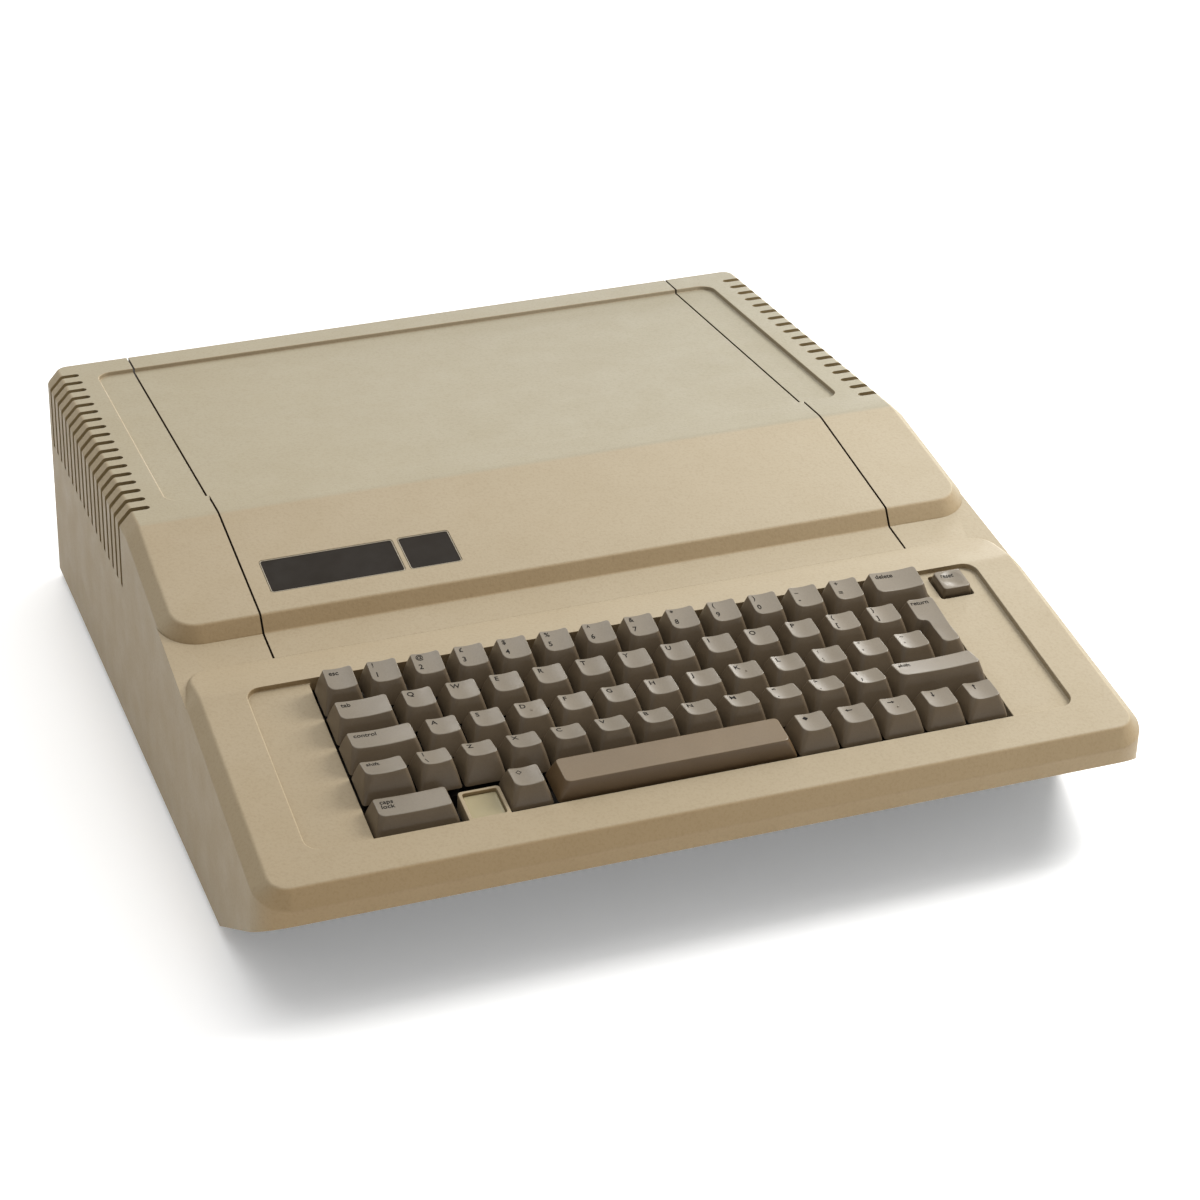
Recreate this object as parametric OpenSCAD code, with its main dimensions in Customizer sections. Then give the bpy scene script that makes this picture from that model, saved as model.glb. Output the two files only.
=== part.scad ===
// A vintage home computer: a wedge-shaped case with a built-in keyboard and a lift-off lid.
// Frame: X to the right, Y to the back, Z up, origin on the ground under the middle of the object.

/* [Case] */
// width across the lower edge of the side walls
case_w = 388; // [380:1:396]
// height of the top deck above the ground
case_h = 114; // [108:1:120]
// distance of the rear edge behind the front edge of the keyboard deck
rear_y = 450.5; // [440:0.5:460]
// thickness of the moulded walls
wall = 3; // [2.4:0.1:3.6]
// slope of the keyboard deck in degrees
deck_slope = 12.7; // [11:0.1:14]
// slope of the front part of the top in degrees
top_slope = 12.57; // [11:0.1:14]
// depth of the recess in the flat top
top_recess = 2.2; // [1.5:0.1:3]
// depth of the recess around the keys
deck_recess = 2.6; // [1.5:0.1:3]

/* [Vents] */
// slots on each side
vent_count = 18; // [12:1:20]
// distance between slots
vent_pitch = 10.35; // [9:0.05:12]
// width of a slot
vent_w = 3.9; // [2.4:0.1:4.4]

/* [Lid] */
// width of the lid
lid_w = 294.2; // [290:0.1:296]
// gap between the lid and the case
lid_gap = 0.9; // [0.6:0.1:1.5]

/* [Keys] */
// distance between key centres
pitch = 19.05; // [18.8:0.05:19.3]
// width of a key cap at its lower edge
cap_base = 18.2; // [17.6:0.1:18.4]
// width of a key cap at its top
cap_top = 12.3; // [11:0.1:14]
// travel of a key
travel = 3.8; // [3:0.1:4.2]

/* [Quality] */
// facets of a full circle in the preview
facets = 48; // [24:8:96]

/* [Hidden] */
$fn = facets;
y_mid = 223.75;
deck_z = 61.27;
crease_y = 241.7;
half_w = case_w / 2;
draft = 0.0353;
kx = -138.84;
cap_low = -1.8;
plate_w = -13;
row_v = [105.7, 86.65, 67.6, 48.55, 29.5];
// front and back of each row's key tops: [v, w, v, w] from the row's centre line
row_top = [[-4.84, 9.05, 7.4, 10.19], [-4.53, 8.44, 7.12, 8.01], [-3.96, 7.96, 7.4, 6.76], [-3.63, 9.92, 7.55, 7.07], [-4.44, 7.66, 7.1, 6.94]];

case_col = [0.75, 0.69, 0.57];
dark = [0.16, 0.14, 0.13];
cap_col = [0.50, 0.45, 0.40];
metal = [0.62, 0.63, 0.65];
board = [0.10, 0.30, 0.18];
black = [0.08, 0.08, 0.09];

function half_at(z) = half_w - (z - 6) * draft;

module at() { translate([0, -y_mid, 0]) children(); }
// solid with its outline in Y and Z, running along X
module along_x(x0, x1) { translate([x0, 0, 0]) rotate([90, 0, 90]) linear_extrude(x1 - x0) children(); }
// solid with its outline in X and Z, running along Y
module along_y(y0, y1) { translate([0, y1, 0]) rotate([90, 0, 0]) linear_extrude(y1 - y0) children(); }
// frame of the keyboard deck: x, v up the slope, w out of the deck
module deck() { translate([0, 0, deck_z]) rotate([deck_slope, 0, 0]) children(); }
module box(x0, x1, y0, y1, z0, z1) { translate([x0, y0, z0]) cube([x1 - x0, y1 - y0, z1 - z0]); }
module rr(x0, x1, y0, y1, r) { translate([x0 + r, y0 + r]) offset(r = r, $fn = 32) square([x1 - x0 - 2 * r, y1 - y0 - 2 * r]); }

// ---- case outline ----
module low_outline() polygon([[-1.6, 45], [-3, 52.5], [0, deck_z], [118, 87.86], [145, 85.9], [162.4, 89.4], [200, 96.9], [200, 5.5], [72, 5.5]]);
module top_outline() polygon([[162.4, 5.5], [162.4, 89.4], [166.4, 97.2], [crease_y, case_h], [rear_y, case_h], [rear_y, 5.5]]);
module lid_outline() polygon([[145.6, 60], [145.6, 86.02], [162.4, 89.4], [166.4, 97.2], [crease_y, case_h], [262, case_h], [262, case_h - top_recess], [433.5, case_h - top_recess], [433.5, case_h], [rear_y, case_h], [rear_y, 60]]);

module walls(k) along_y(-20, 480) polygon([[-half_at(0) + k, 0], [half_at(0) - k, 0], [half_at(140) - k, 140], [-half_at(140) + k, 140]]);
module edge45(a, k, y0, y1) along_y(y0, y1) polygon([[-(a + 150 - k * 1.414), -150], [a + 150 - k * 1.414, -150], [a - 60 - k * 1.414, 60], [-(a - 60 - k * 1.414), 60]]);
module low_body(k) intersection() {
    along_x(-220, 220) offset(delta = -k) low_outline();
    walls(k);
    deck() edge45(186, k, -60, 260);
    translate([0, 0, -5]) linear_extrude(140) rr(-half_w - 0.3 + k, half_w + 0.3 - k, -3 + k, 240, 20);
}
module top_body(k) intersection() {
    along_x(-220, 220) offset(delta = -k) top_outline();
    walls(k);
    translate([0, 0, case_h]) edge45(184.4, k, 100, 500);
    translate([0, crease_y, case_h]) rotate([top_slope, 0, 0]) edge45(184.4, k, -160, 260);
    translate([0, 0, -5]) linear_extrude(140) rr(-half_w - 0.3 + k, half_w + 0.3 - k, 162.4 + k, 520, 24);
}
module low_cavity() intersection() {
    along_x(-220, 220) polygon([[1.5, 30], [0.3, 52.5], [2.6, 58.7], [118.4, 84.8], [143, 82.9], [166, 86.4], [205, 92], [205, 0], [60, 0]]);
    walls(wall);
    deck() edge45(186, wall, -60, 260);
    translate([0, 0, -5]) linear_extrude(140) rr(-half_w - 0.3 + wall, half_w + 0.3 - wall, 0, 260, 17);
}
module top_cavity() intersection() {
    along_x(-220, 220) polygon([[160, -5], [160, 86.4], [165.4, 87.2], [168.9, 94.7], [crease_y + 0.3, case_h - wall], [470, case_h - wall], [470, -5]]);
    walls(wall);
    translate([0, 0, case_h]) edge45(184.4, wall, 100, 500);
    translate([0, crease_y, case_h]) rotate([top_slope, 0, 0]) edge45(184.4, wall, -160, 260);
    translate([0, 0, -5]) linear_extrude(140) rr(-half_w - 0.3 + wall, half_w + 0.3 - wall, 162.4 + wall, 520, 21);
}
module vents() for (s = [-1, 1], i = [0 : vent_count - 1]) {
    y = 259.4 + i * vent_pitch;
    translate([s > 0 ? 175.4 : -205.4, y - vent_w / 2, 77]) cube([30, vent_w, 45]);
}
module deck_well() {
    // opening around the keys, its front edge notched around the lamp window
    difference() {
        box(-139, 139.8, 18.66, 120.4, -30, 20);
        box(-100.4, -82.6, 10, 35.6, -40, 25);
    }
    box(-98.9, -84.1, 19.2, 34.2, -30, 20);
    box(144.5, 160.3, 102.1, 118.5, -30, 20);
}
module deck_hollow() difference() {
    translate([0, 0, -deck_recess]) linear_extrude(12) rr(-166.8, 167.2, 18.66, 120.8, 6.5);
    box(-100.4, -82.6, 10, 35.6, -40, 25);
}
module upper_case() color(case_col) at() {
    difference() {
        union() {
            difference() {
                union() { low_body(0); top_body(0); }
                low_cavity();
                top_cavity();
                box(-143.4, 143.4, 149, 470, 60, 130);
            }
            deck() box(-170, 170, 14, 123.4, -6.9, -2.6);
            // the lamp window's collar, drawn down from the deck
            deck() box(-100.4, -82.6, 16, 35.6, -8, 0);
            // material under the recessed part of the top deck
            intersection() {
                top_body(0);
                along_x(-170, 170) polygon([[258, case_h - top_recess - wall], [258, 114], [437, 114], [437, case_h - top_recess - wall]]);
            }
            // ledge that the lid rests above
            for (s = [-1, 1]) along_x(s > 0 ? 143.4 : -150.5, s > 0 ? 150.5 : -143.4)
                polygon([[144.5, 79.2], [164.6, 83.2], [169.9, 91.8], [crease_y + 0.6, 108], [254, 108], [256, 105.8], [430, 105.8], [430, 108.4], [258.1, 108.4], [258.1, 110.6], [crease_y + 0.3, 110.6], [168.5, 94.3], [164, 86], [144.5, 82.4]]);
            along_x(-150.5, 150.5) polygon([[140, 80], [150, 80], [150, 82.7], [145, 82.7], [144.8, 84], [140, 84.4]]);
            // posts for the keyboard and bosses for the case screws
            deck() for (x = [-146, 166], v = [30, 104]) translate([x, v, plate_w]) cylinder(r = 3.4, h = 11);
            for (s = [-1, 1], y = [95, 250, 425]) {
                translate([s * 182, y, 8.2]) cylinder(r = 4.2, h = 28);
                box(s > 0 ? 182 : -191, s > 0 ? 191 : -182, y - 1.2, y + 1.2, 12, 36);
            }
        }
        along_x(-lid_w / 2 - lid_gap, lid_w / 2 + lid_gap) polygon([[145, 82.9], [163.8, 86.2], [168.6, 94.5], [crease_y + 0.3, 110.7], [258.1, 110.7], [258.1, 108.5], [437, 108.5], [437, 110.7], [447, 110.7], [447, 60], [470, 60], [470, 130], [145, 130]]);
        translate([0, 0, case_h - top_recess]) linear_extrude(30) rr(-166.7, 166.7, 262, 433.5, 7.5);
        deck() deck_hollow();
        deck() deck_well();
        deck() for (x = [-146, 166], v = [30, 104]) translate([x, v, plate_w - 1]) cylinder(r = 1.25, h = 9);
        for (s = [-1, 1], y = [95, 250, 425]) translate([s * 182, y, 5]) cylinder(r = 1.5, h = 22);
        vents();
    }
}
module lid() color(case_col) at() {
    difference() {
        along_x(-lid_w / 2, lid_w / 2) difference() {
            lid_outline();
            polygon([[140, 50], [140, 83.1], [145, 83.1], [163.6, 86.5], [168.6, 94.7], [crease_y + 0.3, case_h - wall], [258.5, case_h - wall], [258.5, case_h - top_recess - wall], [436.5, case_h - top_recess - wall], [436.5, case_h - wall], [rear_y - wall, case_h - wall], [rear_y - wall, 104], [rear_y + 2, 104], [rear_y + 2, 50]]);
        }
        on_slope() { box(-139.2, -77.6, -64, -40, -0.9, 5); box(-75.6, -51.4, -64, -40, -0.9, 5); }
    }
}
// frame of the sloping front of the top: v is zero at the crease
module on_slope() { translate([0, crease_y, case_h]) rotate([top_slope, 0, 0]) children(); }
module badge(x0, x1) on_slope() translate([0, 0, -0.9]) linear_extrude(0.8) rr(x0 + 0.15, x1 - 0.15, -63.85, -40.15, 0.6);
module badge_plate_large() color(dark) at() badge(-139.2, -77.6);
module badge_plate_small() color(dark) at() badge(-75.6, -51.4);
module lid_latches() color(case_col) at() for (s = [-1, 1]) {
    box(s * 105 - 9, s * 105 + 9, 437.4, 439.4, 98, case_h - wall);
    box(s * 105 - 6, s * 105 + 6, 439.4, 444, 108, case_h - wall);
}

// ---- base and rear ----
module base_pan() color(metal) at() difference() {
    intersection() {
        along_x(-200, 200) polygon([[446, 6], [74.2, 6], [2, 44.75], [2, 47.2], [3.2, 47.2], [75, 8], [446, 8]]);
        walls(wall + 0.5);
        linear_extrude(140) rr(-half_w + wall + 0.3, half_w - wall - 0.3, 1, 520, 16);
    }
    for (s = [-1, 1], y = [95, 250, 425]) translate([s * 182, y, 0]) cylinder(r = 1.8, h = 30);
    for (i = [0 : 9]) box(-60 + i * 18, -54 + i * 18, 190, 240, 0, 12);
}
module feet() color(black) at() for (x = [-162, 162], y = [86, 428]) translate([x, y, 0]) cylinder(r = 8, h = 6);
module case_screws() color(metal) at() for (s = [-1, 1], y = [95, 250, 425]) translate([s * 182, y, 4.4]) {
    difference() { cylinder(r = 3.2, h = 1.6); translate([-2, -0.4, -0.2]) cube([4, 0.8, 1]); }
    translate([0, 0, 1.5]) cylinder(r = 1.45, h = 19);
}
module cover_slots() {
    for (i = [0 : 3], j = [0, 1]) box(22 + i * 38, 52 + i * 38, 430, 440, 34 + j * 26, 46 + j * 26);
}
module rear_panel() color(case_col) at() difference() {
    intersection() {
        box(-200, 200, 434, 436, 8, 106.6);
        walls(wall + 0.2);
    }
    box(-167, -133, 430, 440, 29.4, 50.6);
    box(-126, -104, 430, 440, 26, 54);
    translate([-78, 430, 30]) rotate([-90, 0, 0]) cylinder(r = 5.4, h = 10);
    for (x = [-54, -36]) translate([x, 430, 28]) rotate([-90, 0, 0]) cylinder(r = 4.2, h = 10);
    box(-22, -2, 430, 440, 25, 35);
    cover_slots();
    for (i = [0 : 15]) box(-80 + i * 16, -72 + i * 16, 430, 440, 92, 94.4);
}
module port_covers() color(case_col) at() for (i = [0 : 3], j = [0, 1]) {
    box(20.6 + i * 38, 53.4 + i * 38, 436, 437.2, 32.6 + j * 26, 47.4 + j * 26);
    box(22.3 + i * 38, 51.7 + i * 38, 433, 436, 34.3 + j * 26, 45.7 + j * 26);
}

// ---- power ----
module psu_case() color(metal) at() difference() {
    box(-176.5, -98, 168, 420, 8, 70);
    box(-175.3, -99.2, 169.2, 418.8, 9.2, 68.8);
    for (i = [0 : 15]) box(-165, -110, 190 + i * 13, 194 + i * 13, 60, 80);
    box(-166.6, -133.4, 410, 430, 30, 50);
    box(-125.8, -104.2, 410, 430, 27, 53);
    translate([-100, 200, 24]) rotate([0, 90, 0]) cylinder(r = 6.2, h = 20, center = true);
}
module power_inlet() color(black) at() difference() {
    union() { box(-166.4, -133.6, 419.2, 436, 30.2, 49.8); box(-171, -129, 436, 438.4, 26, 54); }
    box(-162, -138, 421.5, 445, 32, 48);
    for (s = [-1, 1]) translate([-150 + s * 18.4, 430, 40]) rotate([-90, 0, 0]) cylinder(r = 1.3, h = 20);
}
module power_pins() color(metal) at() for (p = [[-157, 36], [-143, 36], [-150, 43.6]]) box(p[0] - 1, p[0] + 1, 421.5, 436.5, p[1] - 2, p[1] + 2);
module switch_housing() color(black) at() difference() {
    union() { box(-125.6, -104.4, 419.4, 436, 27.2, 52.8); box(-128, -102, 436, 437.8, 24.4, 55.6); }
    box(-122.2, -107.8, 421.5, 445, 28.6, 51.4);
    translate([-115, 434, 40]) rotate([0, 90, 0]) cylinder(r = 1.25, h = 18, center = true);
}
module power_rocker() color([0.12, 0.12, 0.13]) at() {
    along_x(-121.6, -108.4) polygon([[430, 34], [436.6, 30.4], [440, 30.6], [437.4, 40], [437, 49.6], [434.6, 49.6], [430, 46]]);
    translate([-115, 434, 40]) rotate([0, 90, 0]) cylinder(r = 1.2, h = 17, center = true);
}
function unit(v) = v / norm(v);
function heading(p, i) = unit((i == 0 ? [0, 0, 0] : unit(p[i] - p[i - 1])) + (i == len(p) - 1 ? [0, 0, 0] : unit(p[i + 1] - p[i])));
function ring(c, d, r, n) = let(a = unit(cross(d, [-1, 0, 1])), b = cross(d, a)) [for (k = [0 : n - 1]) c + r * (cos(k * 360 / n) * a + sin(k * 360 / n) * b)];
// lead of radius r along the points p
module run(p, r, n = 10) {
    m = len(p);
    polyhedron([for (i = [0 : m - 1]) each ring(p[i], heading(p, i), r, n)],
        concat([[for (k = [0 : n - 1]) k]], [[for (k = [0 : n - 1]) m * n - 1 - k]],
            [for (i = [0 : m - 2], k = [0 : n - 1]) [i * n + k, (i + 1) * n + k, (i + 1) * n + (k + 1) % n]],
            [for (i = [0 : m - 2], k = [0 : n - 1]) [i * n + k, (i + 1) * n + (k + 1) % n, i * n + (k + 1) % n]]));
}
module power_lead() color([0.75, 0.74, 0.70]) at() run([[-99.5, 200, 24], [-95, 200, 24], [-91, 201.5, 25], [-88, 206, 28], [-85, 214, 33], [-82, 224, 38], [-79, 234, 41.5], [-77, 242, 42], [-76, 248, 39.5], [-76, 251, 35], [-76, 251, 31], [-76, 251, 27]], 3.4);
module power_plug() color([0.9, 0.88, 0.8]) at() box(-82, -70, 240, 262, 17.6, 27);

// ---- main board ----
module main_board() color(board) at() difference() {
    box(-92, 174, 150, 432, 16, 17.6);
    for (x = [-86, 45, 168], y = [158, 290, 424]) translate([x, y, 15]) cylinder(r = 1.6, h = 4);
}
module board_standoffs() color([0.92, 0.92, 0.9]) at() for (x = [-86, 45, 168], y = [158, 290, 424]) translate([x, y, 8]) { cylinder(r = 3.2, h = 8); cylinder(r = 1.5, h = 11); }
module slot(x, y0, l) difference() { box(x - 4.6, x + 4.6, y0, y0 + l, 17.6, 32); box(x - 0.9, x + 0.9, y0 + 3, y0 + l - 3, 22, 40); }
module card_slots() color(black) at() for (i = [0 : 6]) slot(20 + i * 22, 336, 78);
module aux_slot() color([0.20, 0.42, 0.30]) at() slot(-42, 225, 92);
module chip(x, y, w, l) { box(x - w / 2, x + w / 2, y - l / 2, y + l / 2, 18.6, 22.2); for (s = [-1, 1]) box(x + s * (w / 2 + 0.3) - 0.3, x + s * (w / 2 + 0.3) + 0.3, y - l / 2 + 1, y + l / 2 - 1, 17.6, 20.6); }
module logic_chips() color(black) at() {
    for (i = [0 : 7], j = [0, 1]) chip(-12 + i * 24, 231 + j * 28, 6.4, 24);
    for (p = [[18, 190], [60, 190], [96, 190]]) chip(p[0], p[1], 13.4, 51);
    for (p = [[130, 182], [152, 182]]) chip(p[0], p[1], 13.4, 36);
    for (i = [0 : 6]) chip(8 + i * 22, 306, 6.4, 20);
}
module memory_chips() color(black) at() for (i = [0 : 7]) chip(-78 + i * 10, 176, 6.2, 20);
module board_components() color([0.75, 0.45, 0.15]) at() {
    for (p = [[-76, 300], [-76, 318], [-60, 300]]) translate([p[0], p[1], 17.6]) cylinder(r = 5, h = 14);
    for (i = [0 : 11]) translate([-60 + i * 3, 345, 17.6]) cylinder(r = 1, h = 8);
    for (i = [0 : 7]) box(2 + i * 22, 5 + i * 22, 278, 280, 17.6, 23);
    box(-30, -18, 356, 361, 17.6, 21);
}
module video_jack() color(metal) at() translate([-78, 0, 30]) {
    difference() {
        union() { translate([0, 430, 0]) rotate([-90, 0, 0]) cylinder(r = 4.15, h = 16.5); box(-6, 6, 418, 433.6, -12.4, 6); }
        translate([0, 432, 0]) rotate([-90, 0, 0]) cylinder(r = 1.6, h = 20);
        difference() { translate([0, 440, 0]) rotate([-90, 0, 0]) cylinder(r = 3.6, h = 20); translate([0, 430, 0]) rotate([-90, 0, 0]) cylinder(r = 2.7, h = 30); }
    }
}
module cassette_jacks() color(black) at() for (x = [-54, -36]) difference() {
    union() { translate([x, 430, 28]) rotate([-90, 0, 0]) cylinder(r = 3.9, h = 9); box(x - 6, x + 6, 418, 433.6, 17.6, 34); }
    translate([x, 424, 28]) rotate([-90, 0, 0]) cylinder(r = 1.75, h = 20);
}
module game_port() color(metal) at() difference() {
    union() {
        box(-21.4, -2.6, 422, 436, 25.4, 34.6);
        box(-27.4, 3.4, 436, 437, 23.8, 36.2);
        translate([-12, 443.4, 30]) rotate([90, 0, 0]) linear_extrude(6.4) polygon([[-8.4, 4.2], [8.4, 4.2], [7, -4.2], [-7, -4.2]]);
    }
    for (i = [0 : 4]) translate([-12 + (i - 2) * 2.76, 436, 31.4]) rotate([-90, 0, 0]) cylinder(r = 0.6, h = 20);
    for (i = [0 : 3]) translate([-12 + (i - 1.5) * 2.76, 436, 28.6]) rotate([-90, 0, 0]) cylinder(r = 0.6, h = 20);
    for (s = [-1, 1]) translate([-12 + s * 12.5, 430, 30]) rotate([-90, 0, 0]) cylinder(r = 1.5, h = 20);
}
module speaker() color(black) at() translate([-128, 104, 8]) difference() {
    rotate_extrude() polygon([[0, 0], [12, 0], [12, 9], [20, 12], [28, 19], [30, 19], [30, 21], [26, 21], [10, 12.5], [0, 12.5]]);
    for (a = [0 : 90 : 270]) rotate(a + 45) translate([28, 0, -1]) cylinder(r = 0.9, h = 30);
}
module speaker_lead() color([0.6, 0.12, 0.1]) at() run([[-106, 104, 22], [-101, 105, 20.5], [-95, 109, 17], [-89, 118, 13], [-83, 129, 12], [-76, 139, 15], [-69, 147, 20], [-65, 152, 22.5], [-64, 153, 20.5], [-64, 153, 17.6]], 1.1, 8);

// ---- keyboard ----
module cap_block(x0, x1, v0, t, low, side, drop) intersection() {
    along_y(v0 - 20, v0 + 20) polygon([[x0, low], [x1, low], [x1 - side * 1.2, 10.8 - drop], [x0 + side * 1.2, 10.8 - drop]]);
    along_x(x0 - 1, x1 + 1) polygon([[v0 - cap_base / 2 + drop, low], [v0 + cap_base / 2 - drop, low], [v0 + t[2] - drop * 0.7, t[3] - drop], [v0 + t[0] + drop * 0.9, t[1] - drop]]);
}
module cap(u, n, r, dip = 0.8) {
    t = row_top[r]; v0 = row_v[r];
    x0 = kx + u * pitch + (pitch - cap_base) / 2; x1 = x0 + (n - 1) * pitch + cap_base;
    side = (cap_base - cap_top) / 2; xm = (x0 + x1) / 2; hw = (x1 - x0) / 2 - side;
    tilt = atan2(t[3] - t[1], t[2] - t[0]); rad = hw * hw / (2 * dip);
    difference() {
        cap_block(x0, x1, v0, t, cap_low, side, 0);
        cap_block(x0 + 1.3, x1 - 1.3, v0, t, cap_low - 0.5, side, 1.6);
        if (dip > 0) translate([xm, v0 + t[0], t[1]]) rotate([tilt, 0, 0]) translate([0, -10, rad - dip]) rotate([-90, 0, 0]) cylinder(r = rad, h = 40, $fn = 400);
    }
    stem(xm, v0, t[1] - (t[3] - t[1]) * t[0] / (t[2] - t[0]) - 0.3 - dip);
}
module stem(x, v, top) translate([x, v, -9.4]) cylinder(r = 2.6, h = top + 9.4);
module keys(r, list) color(cap_col) at() deck() for (c = list) cap(c[0], c[1], r);
module keys_number_row() keys(0, [for (i = [1 : 12]) [i, 1]]);
module keys_upper_row() keys(1, [for (i = [0 : 11]) [1.5 + i, 1]]);
module keys_home_row() keys(2, [for (i = [0 : 11]) [1.75 + i, 1]]);
module keys_lower_row() keys(3, [for (i = [0 : 10]) [1.25 + i, 1]]);
module key_escape() keys(0, [[0, 1]]);
module key_delete() keys(0, [[13, 1.5]]);
module key_tab() keys(1, [[0, 1.5]]);
module key_control() keys(2, [[0, 1.75]]);
module key_shift_left() keys(3, [[0, 1.25]]);
module key_shift_right() keys(3, [[12.25, 2.25]]);
module key_caps_lock() color(cap_col) at() deck() translate([0, 0, -3]) cap(0, 1.93, 4, 0.5);
module key_option_left() keys(4, [[2.96, 1]]);
module key_option_right() keys(4, [[9.5, 1]]);
module key_arrow_left() keys(4, [[10.5, 1]]);
module key_arrow_right() keys(4, [[11.5, 1]]);
module key_arrow_down() keys(4, [[12.5, 1]]);
module key_arrow_up() keys(4, [[13.5, 1]]);
module key_return() color(cap_col) at() deck() {
    difference() {
        return_block(0);
        return_block(1.5);
        translate([kx + 14.02 * pitch, 60, 60.2]) rotate([-90, 0, 0]) cylinder(r = 53.2, h = 60, $fn = 400);
    }
    stem(kx + 14.1 * pitch, row_v[2], 6.7);
    stem(kx + 14.1 * pitch, row_v[1], 6.7);
}
module return_block(d) {
    t1 = row_top[1]; t2 = row_top[2];
    for (p = [[13.5, 77.6, row_v[1] + 9.1], [13.75, row_v[2] - 9.1, 80]]) {
        x0 = kx + p[0] * pitch + 0.42; x1 = kx + 14.5 * pitch - 0.42;
        intersection() {
            along_y(p[1] + d, p[2] - d) polygon([[x0 + d, cap_low - (d > 0 ? 0.5 : 0)], [x1 - d, cap_low - (d > 0 ? 0.5 : 0)], [x1 - d - 3.2, 10], [x0 + d + 3.2, 10]]);
            along_x(100, 150) polygon([[row_v[2] - 9.1 + d, cap_low - (d > 0 ? 0.5 : 0)], [row_v[1] + 9.1 - d, cap_low - (d > 0 ? 0.5 : 0)], [row_v[1] + 7.1 - d, 8 - d], [row_v[1] - 5, 7.4 - d], [row_v[2] + 7.4, 7 - d], [row_v[2] - 3.96 + d * 0.5, 7.96 - d]]);
        }
    }
}
module key_space() color(cap_col) at() deck() {
    x0 = kx + 4 * pitch + 0.42; x1 = kx + 9.5 * pitch - 0.42; t = [-7.2, 7.0, 7.4, 6.8];
    difference() {
        cap_block(x0, x1, row_v[4], t, cap_low, 3.6, 0);
        cap_block(x0 + 1.3, x1 - 1.3, row_v[4], t, cap_low - 0.5, 3.6, 1.6);
    }
    for (x = [-38, 0, 38]) stem((x0 + x1) / 2 + x, row_v[4], 5.4);
}
module key_reset() color(cap_col) at() deck() translate([152.45, 110.3, 0.9]) {
    difference() {
        intersection() {
            along_y(-7, 7) polygon([[-7.3, -5.6], [7.3, -5.6], [6.3, 0.3], [-6.3, 0.3]]);
            along_x(-8, 8) polygon([[-7, -5.6], [7, -5.6], [6.2, 0.3], [-6.3, 0.3]]);
        }
        translate([0, 0, 12.4]) sphere(r = 13.2, $fn = 96);
        box(-5.8, 5.8, -5.6, 5.6, -7, -2.6);
    }
    translate([0, 0, -12.3]) cylinder(r = 2.6, h = 9.9);
}
key_points = concat(
    [for (i = [0 : 12]) [kx + (i + 0.5) * pitch, row_v[0]]], [[kx + 13.75 * pitch, row_v[0]]],
    [[kx + 0.75 * pitch, row_v[1]]], [for (i = [0 : 11]) [kx + (2 + i) * pitch, row_v[1]]], [[kx + 14.1 * pitch, row_v[1]]],
    [[kx + 0.875 * pitch, row_v[2]]], [for (i = [0 : 11]) [kx + (2.25 + i) * pitch, row_v[2]]], [[kx + 14.1 * pitch, row_v[2]]],
    [[kx + 0.625 * pitch, row_v[3]]], [for (i = [0 : 10]) [kx + (1.75 + i) * pitch, row_v[3]]], [[kx + 13.375 * pitch, row_v[3]]],
    [[kx + 0.965 * pitch, row_v[4]], [kx + 3.46 * pitch, row_v[4]], [kx + 6.75 * pitch, row_v[4]], [kx + 10 * pitch, row_v[4]]],
    [for (i = [0 : 3]) [kx + (11 + i) * pitch, row_v[4]]]);
module keyboard_plate() color(metal) at() deck() difference() {
    box(-150, 170, 17, 119, plate_w - 1.5, plate_w);
    for (p = key_points) box(p[0] - 6.9, p[0] + 6.9, p[1] - 6.9, p[1] + 6.9, plate_w - 3, plate_w + 1);
    box(152.45 - 6.9, 152.45 + 6.9, 110.3 - 6.9, 110.3 + 6.9, plate_w - 3, plate_w + 1);
    for (s = [-38, 38]) translate([kx + 6.75 * pitch + s, row_v[4], plate_w - 3]) cylinder(r = 4.4, h = 6);
    box(-97, -85, 20, 33, plate_w - 3, plate_w + 1);
    for (x = [-146, 166], v = [30, 104]) translate([x, v, plate_w - 3]) cylinder(r = 1.4, h = 6);
}
module keyboard_board() color(board) at() deck() box(-142, 164, 16, 120, plate_w - 6.6, plate_w - 5);
module keyboard_screws() color(metal) at() deck() for (x = [-146, 166], v = [30, 104]) translate([x, v, plate_w - 1.5]) {
    translate([0, 0, -1.8]) cylinder(r = 2.6, h = 1.8);
    cylinder(r = 1.2, h = 8.5);
}
module housing(x, v, top) translate([x, v, 0]) difference() {
    union() { box(-6.9, 6.9, -6.9, 6.9, plate_w - 5, plate_w); box(-7.8, 7.8, -7.8, 7.8, plate_w, top); }
    translate([0, 0, plate_w - 3.6]) cylinder(r = 3.2, h = 20);
}
module key_switches() color(dark) at() deck() {
    for (p = key_points) housing(p[0], p[1], -6.4);
    housing(152.45, 110.3, -9.2);
}
module space_guides() color([0.85, 0.84, 0.8]) at() deck() for (s = [-38, 38]) translate([kx + 6.75 * pitch + s, row_v[4], plate_w - 1.5]) difference() {
    cylinder(r = 4.4, h = 7.4);
    translate([0, 0, -1]) cylinder(r = 3.1, h = 12);
}
module keyboard_ribbon() color([0.55, 0.56, 0.58]) at() along_x(54, 90) polygon([[96, 61.4], [97.4, 60.7], [108, 52], [122, 40], [136, 30.6], [150, 27.4], [161.4, 27.4], [161.4, 28.6], [150.4, 28.6], [136.6, 31.8], [122.7, 41.1], [108.8, 53], [98, 62.2], [96.5, 62.85]]);
module ribbon_plug() color(black) at() box(50, 94, 152.6, 161.2, 17.6, 27.4);
module power_lamp() color([0.93, 0.89, 0.68]) at() deck() box(-98.6, -84.4, 19.5, 33.9, -3.2, -1.4);
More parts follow.
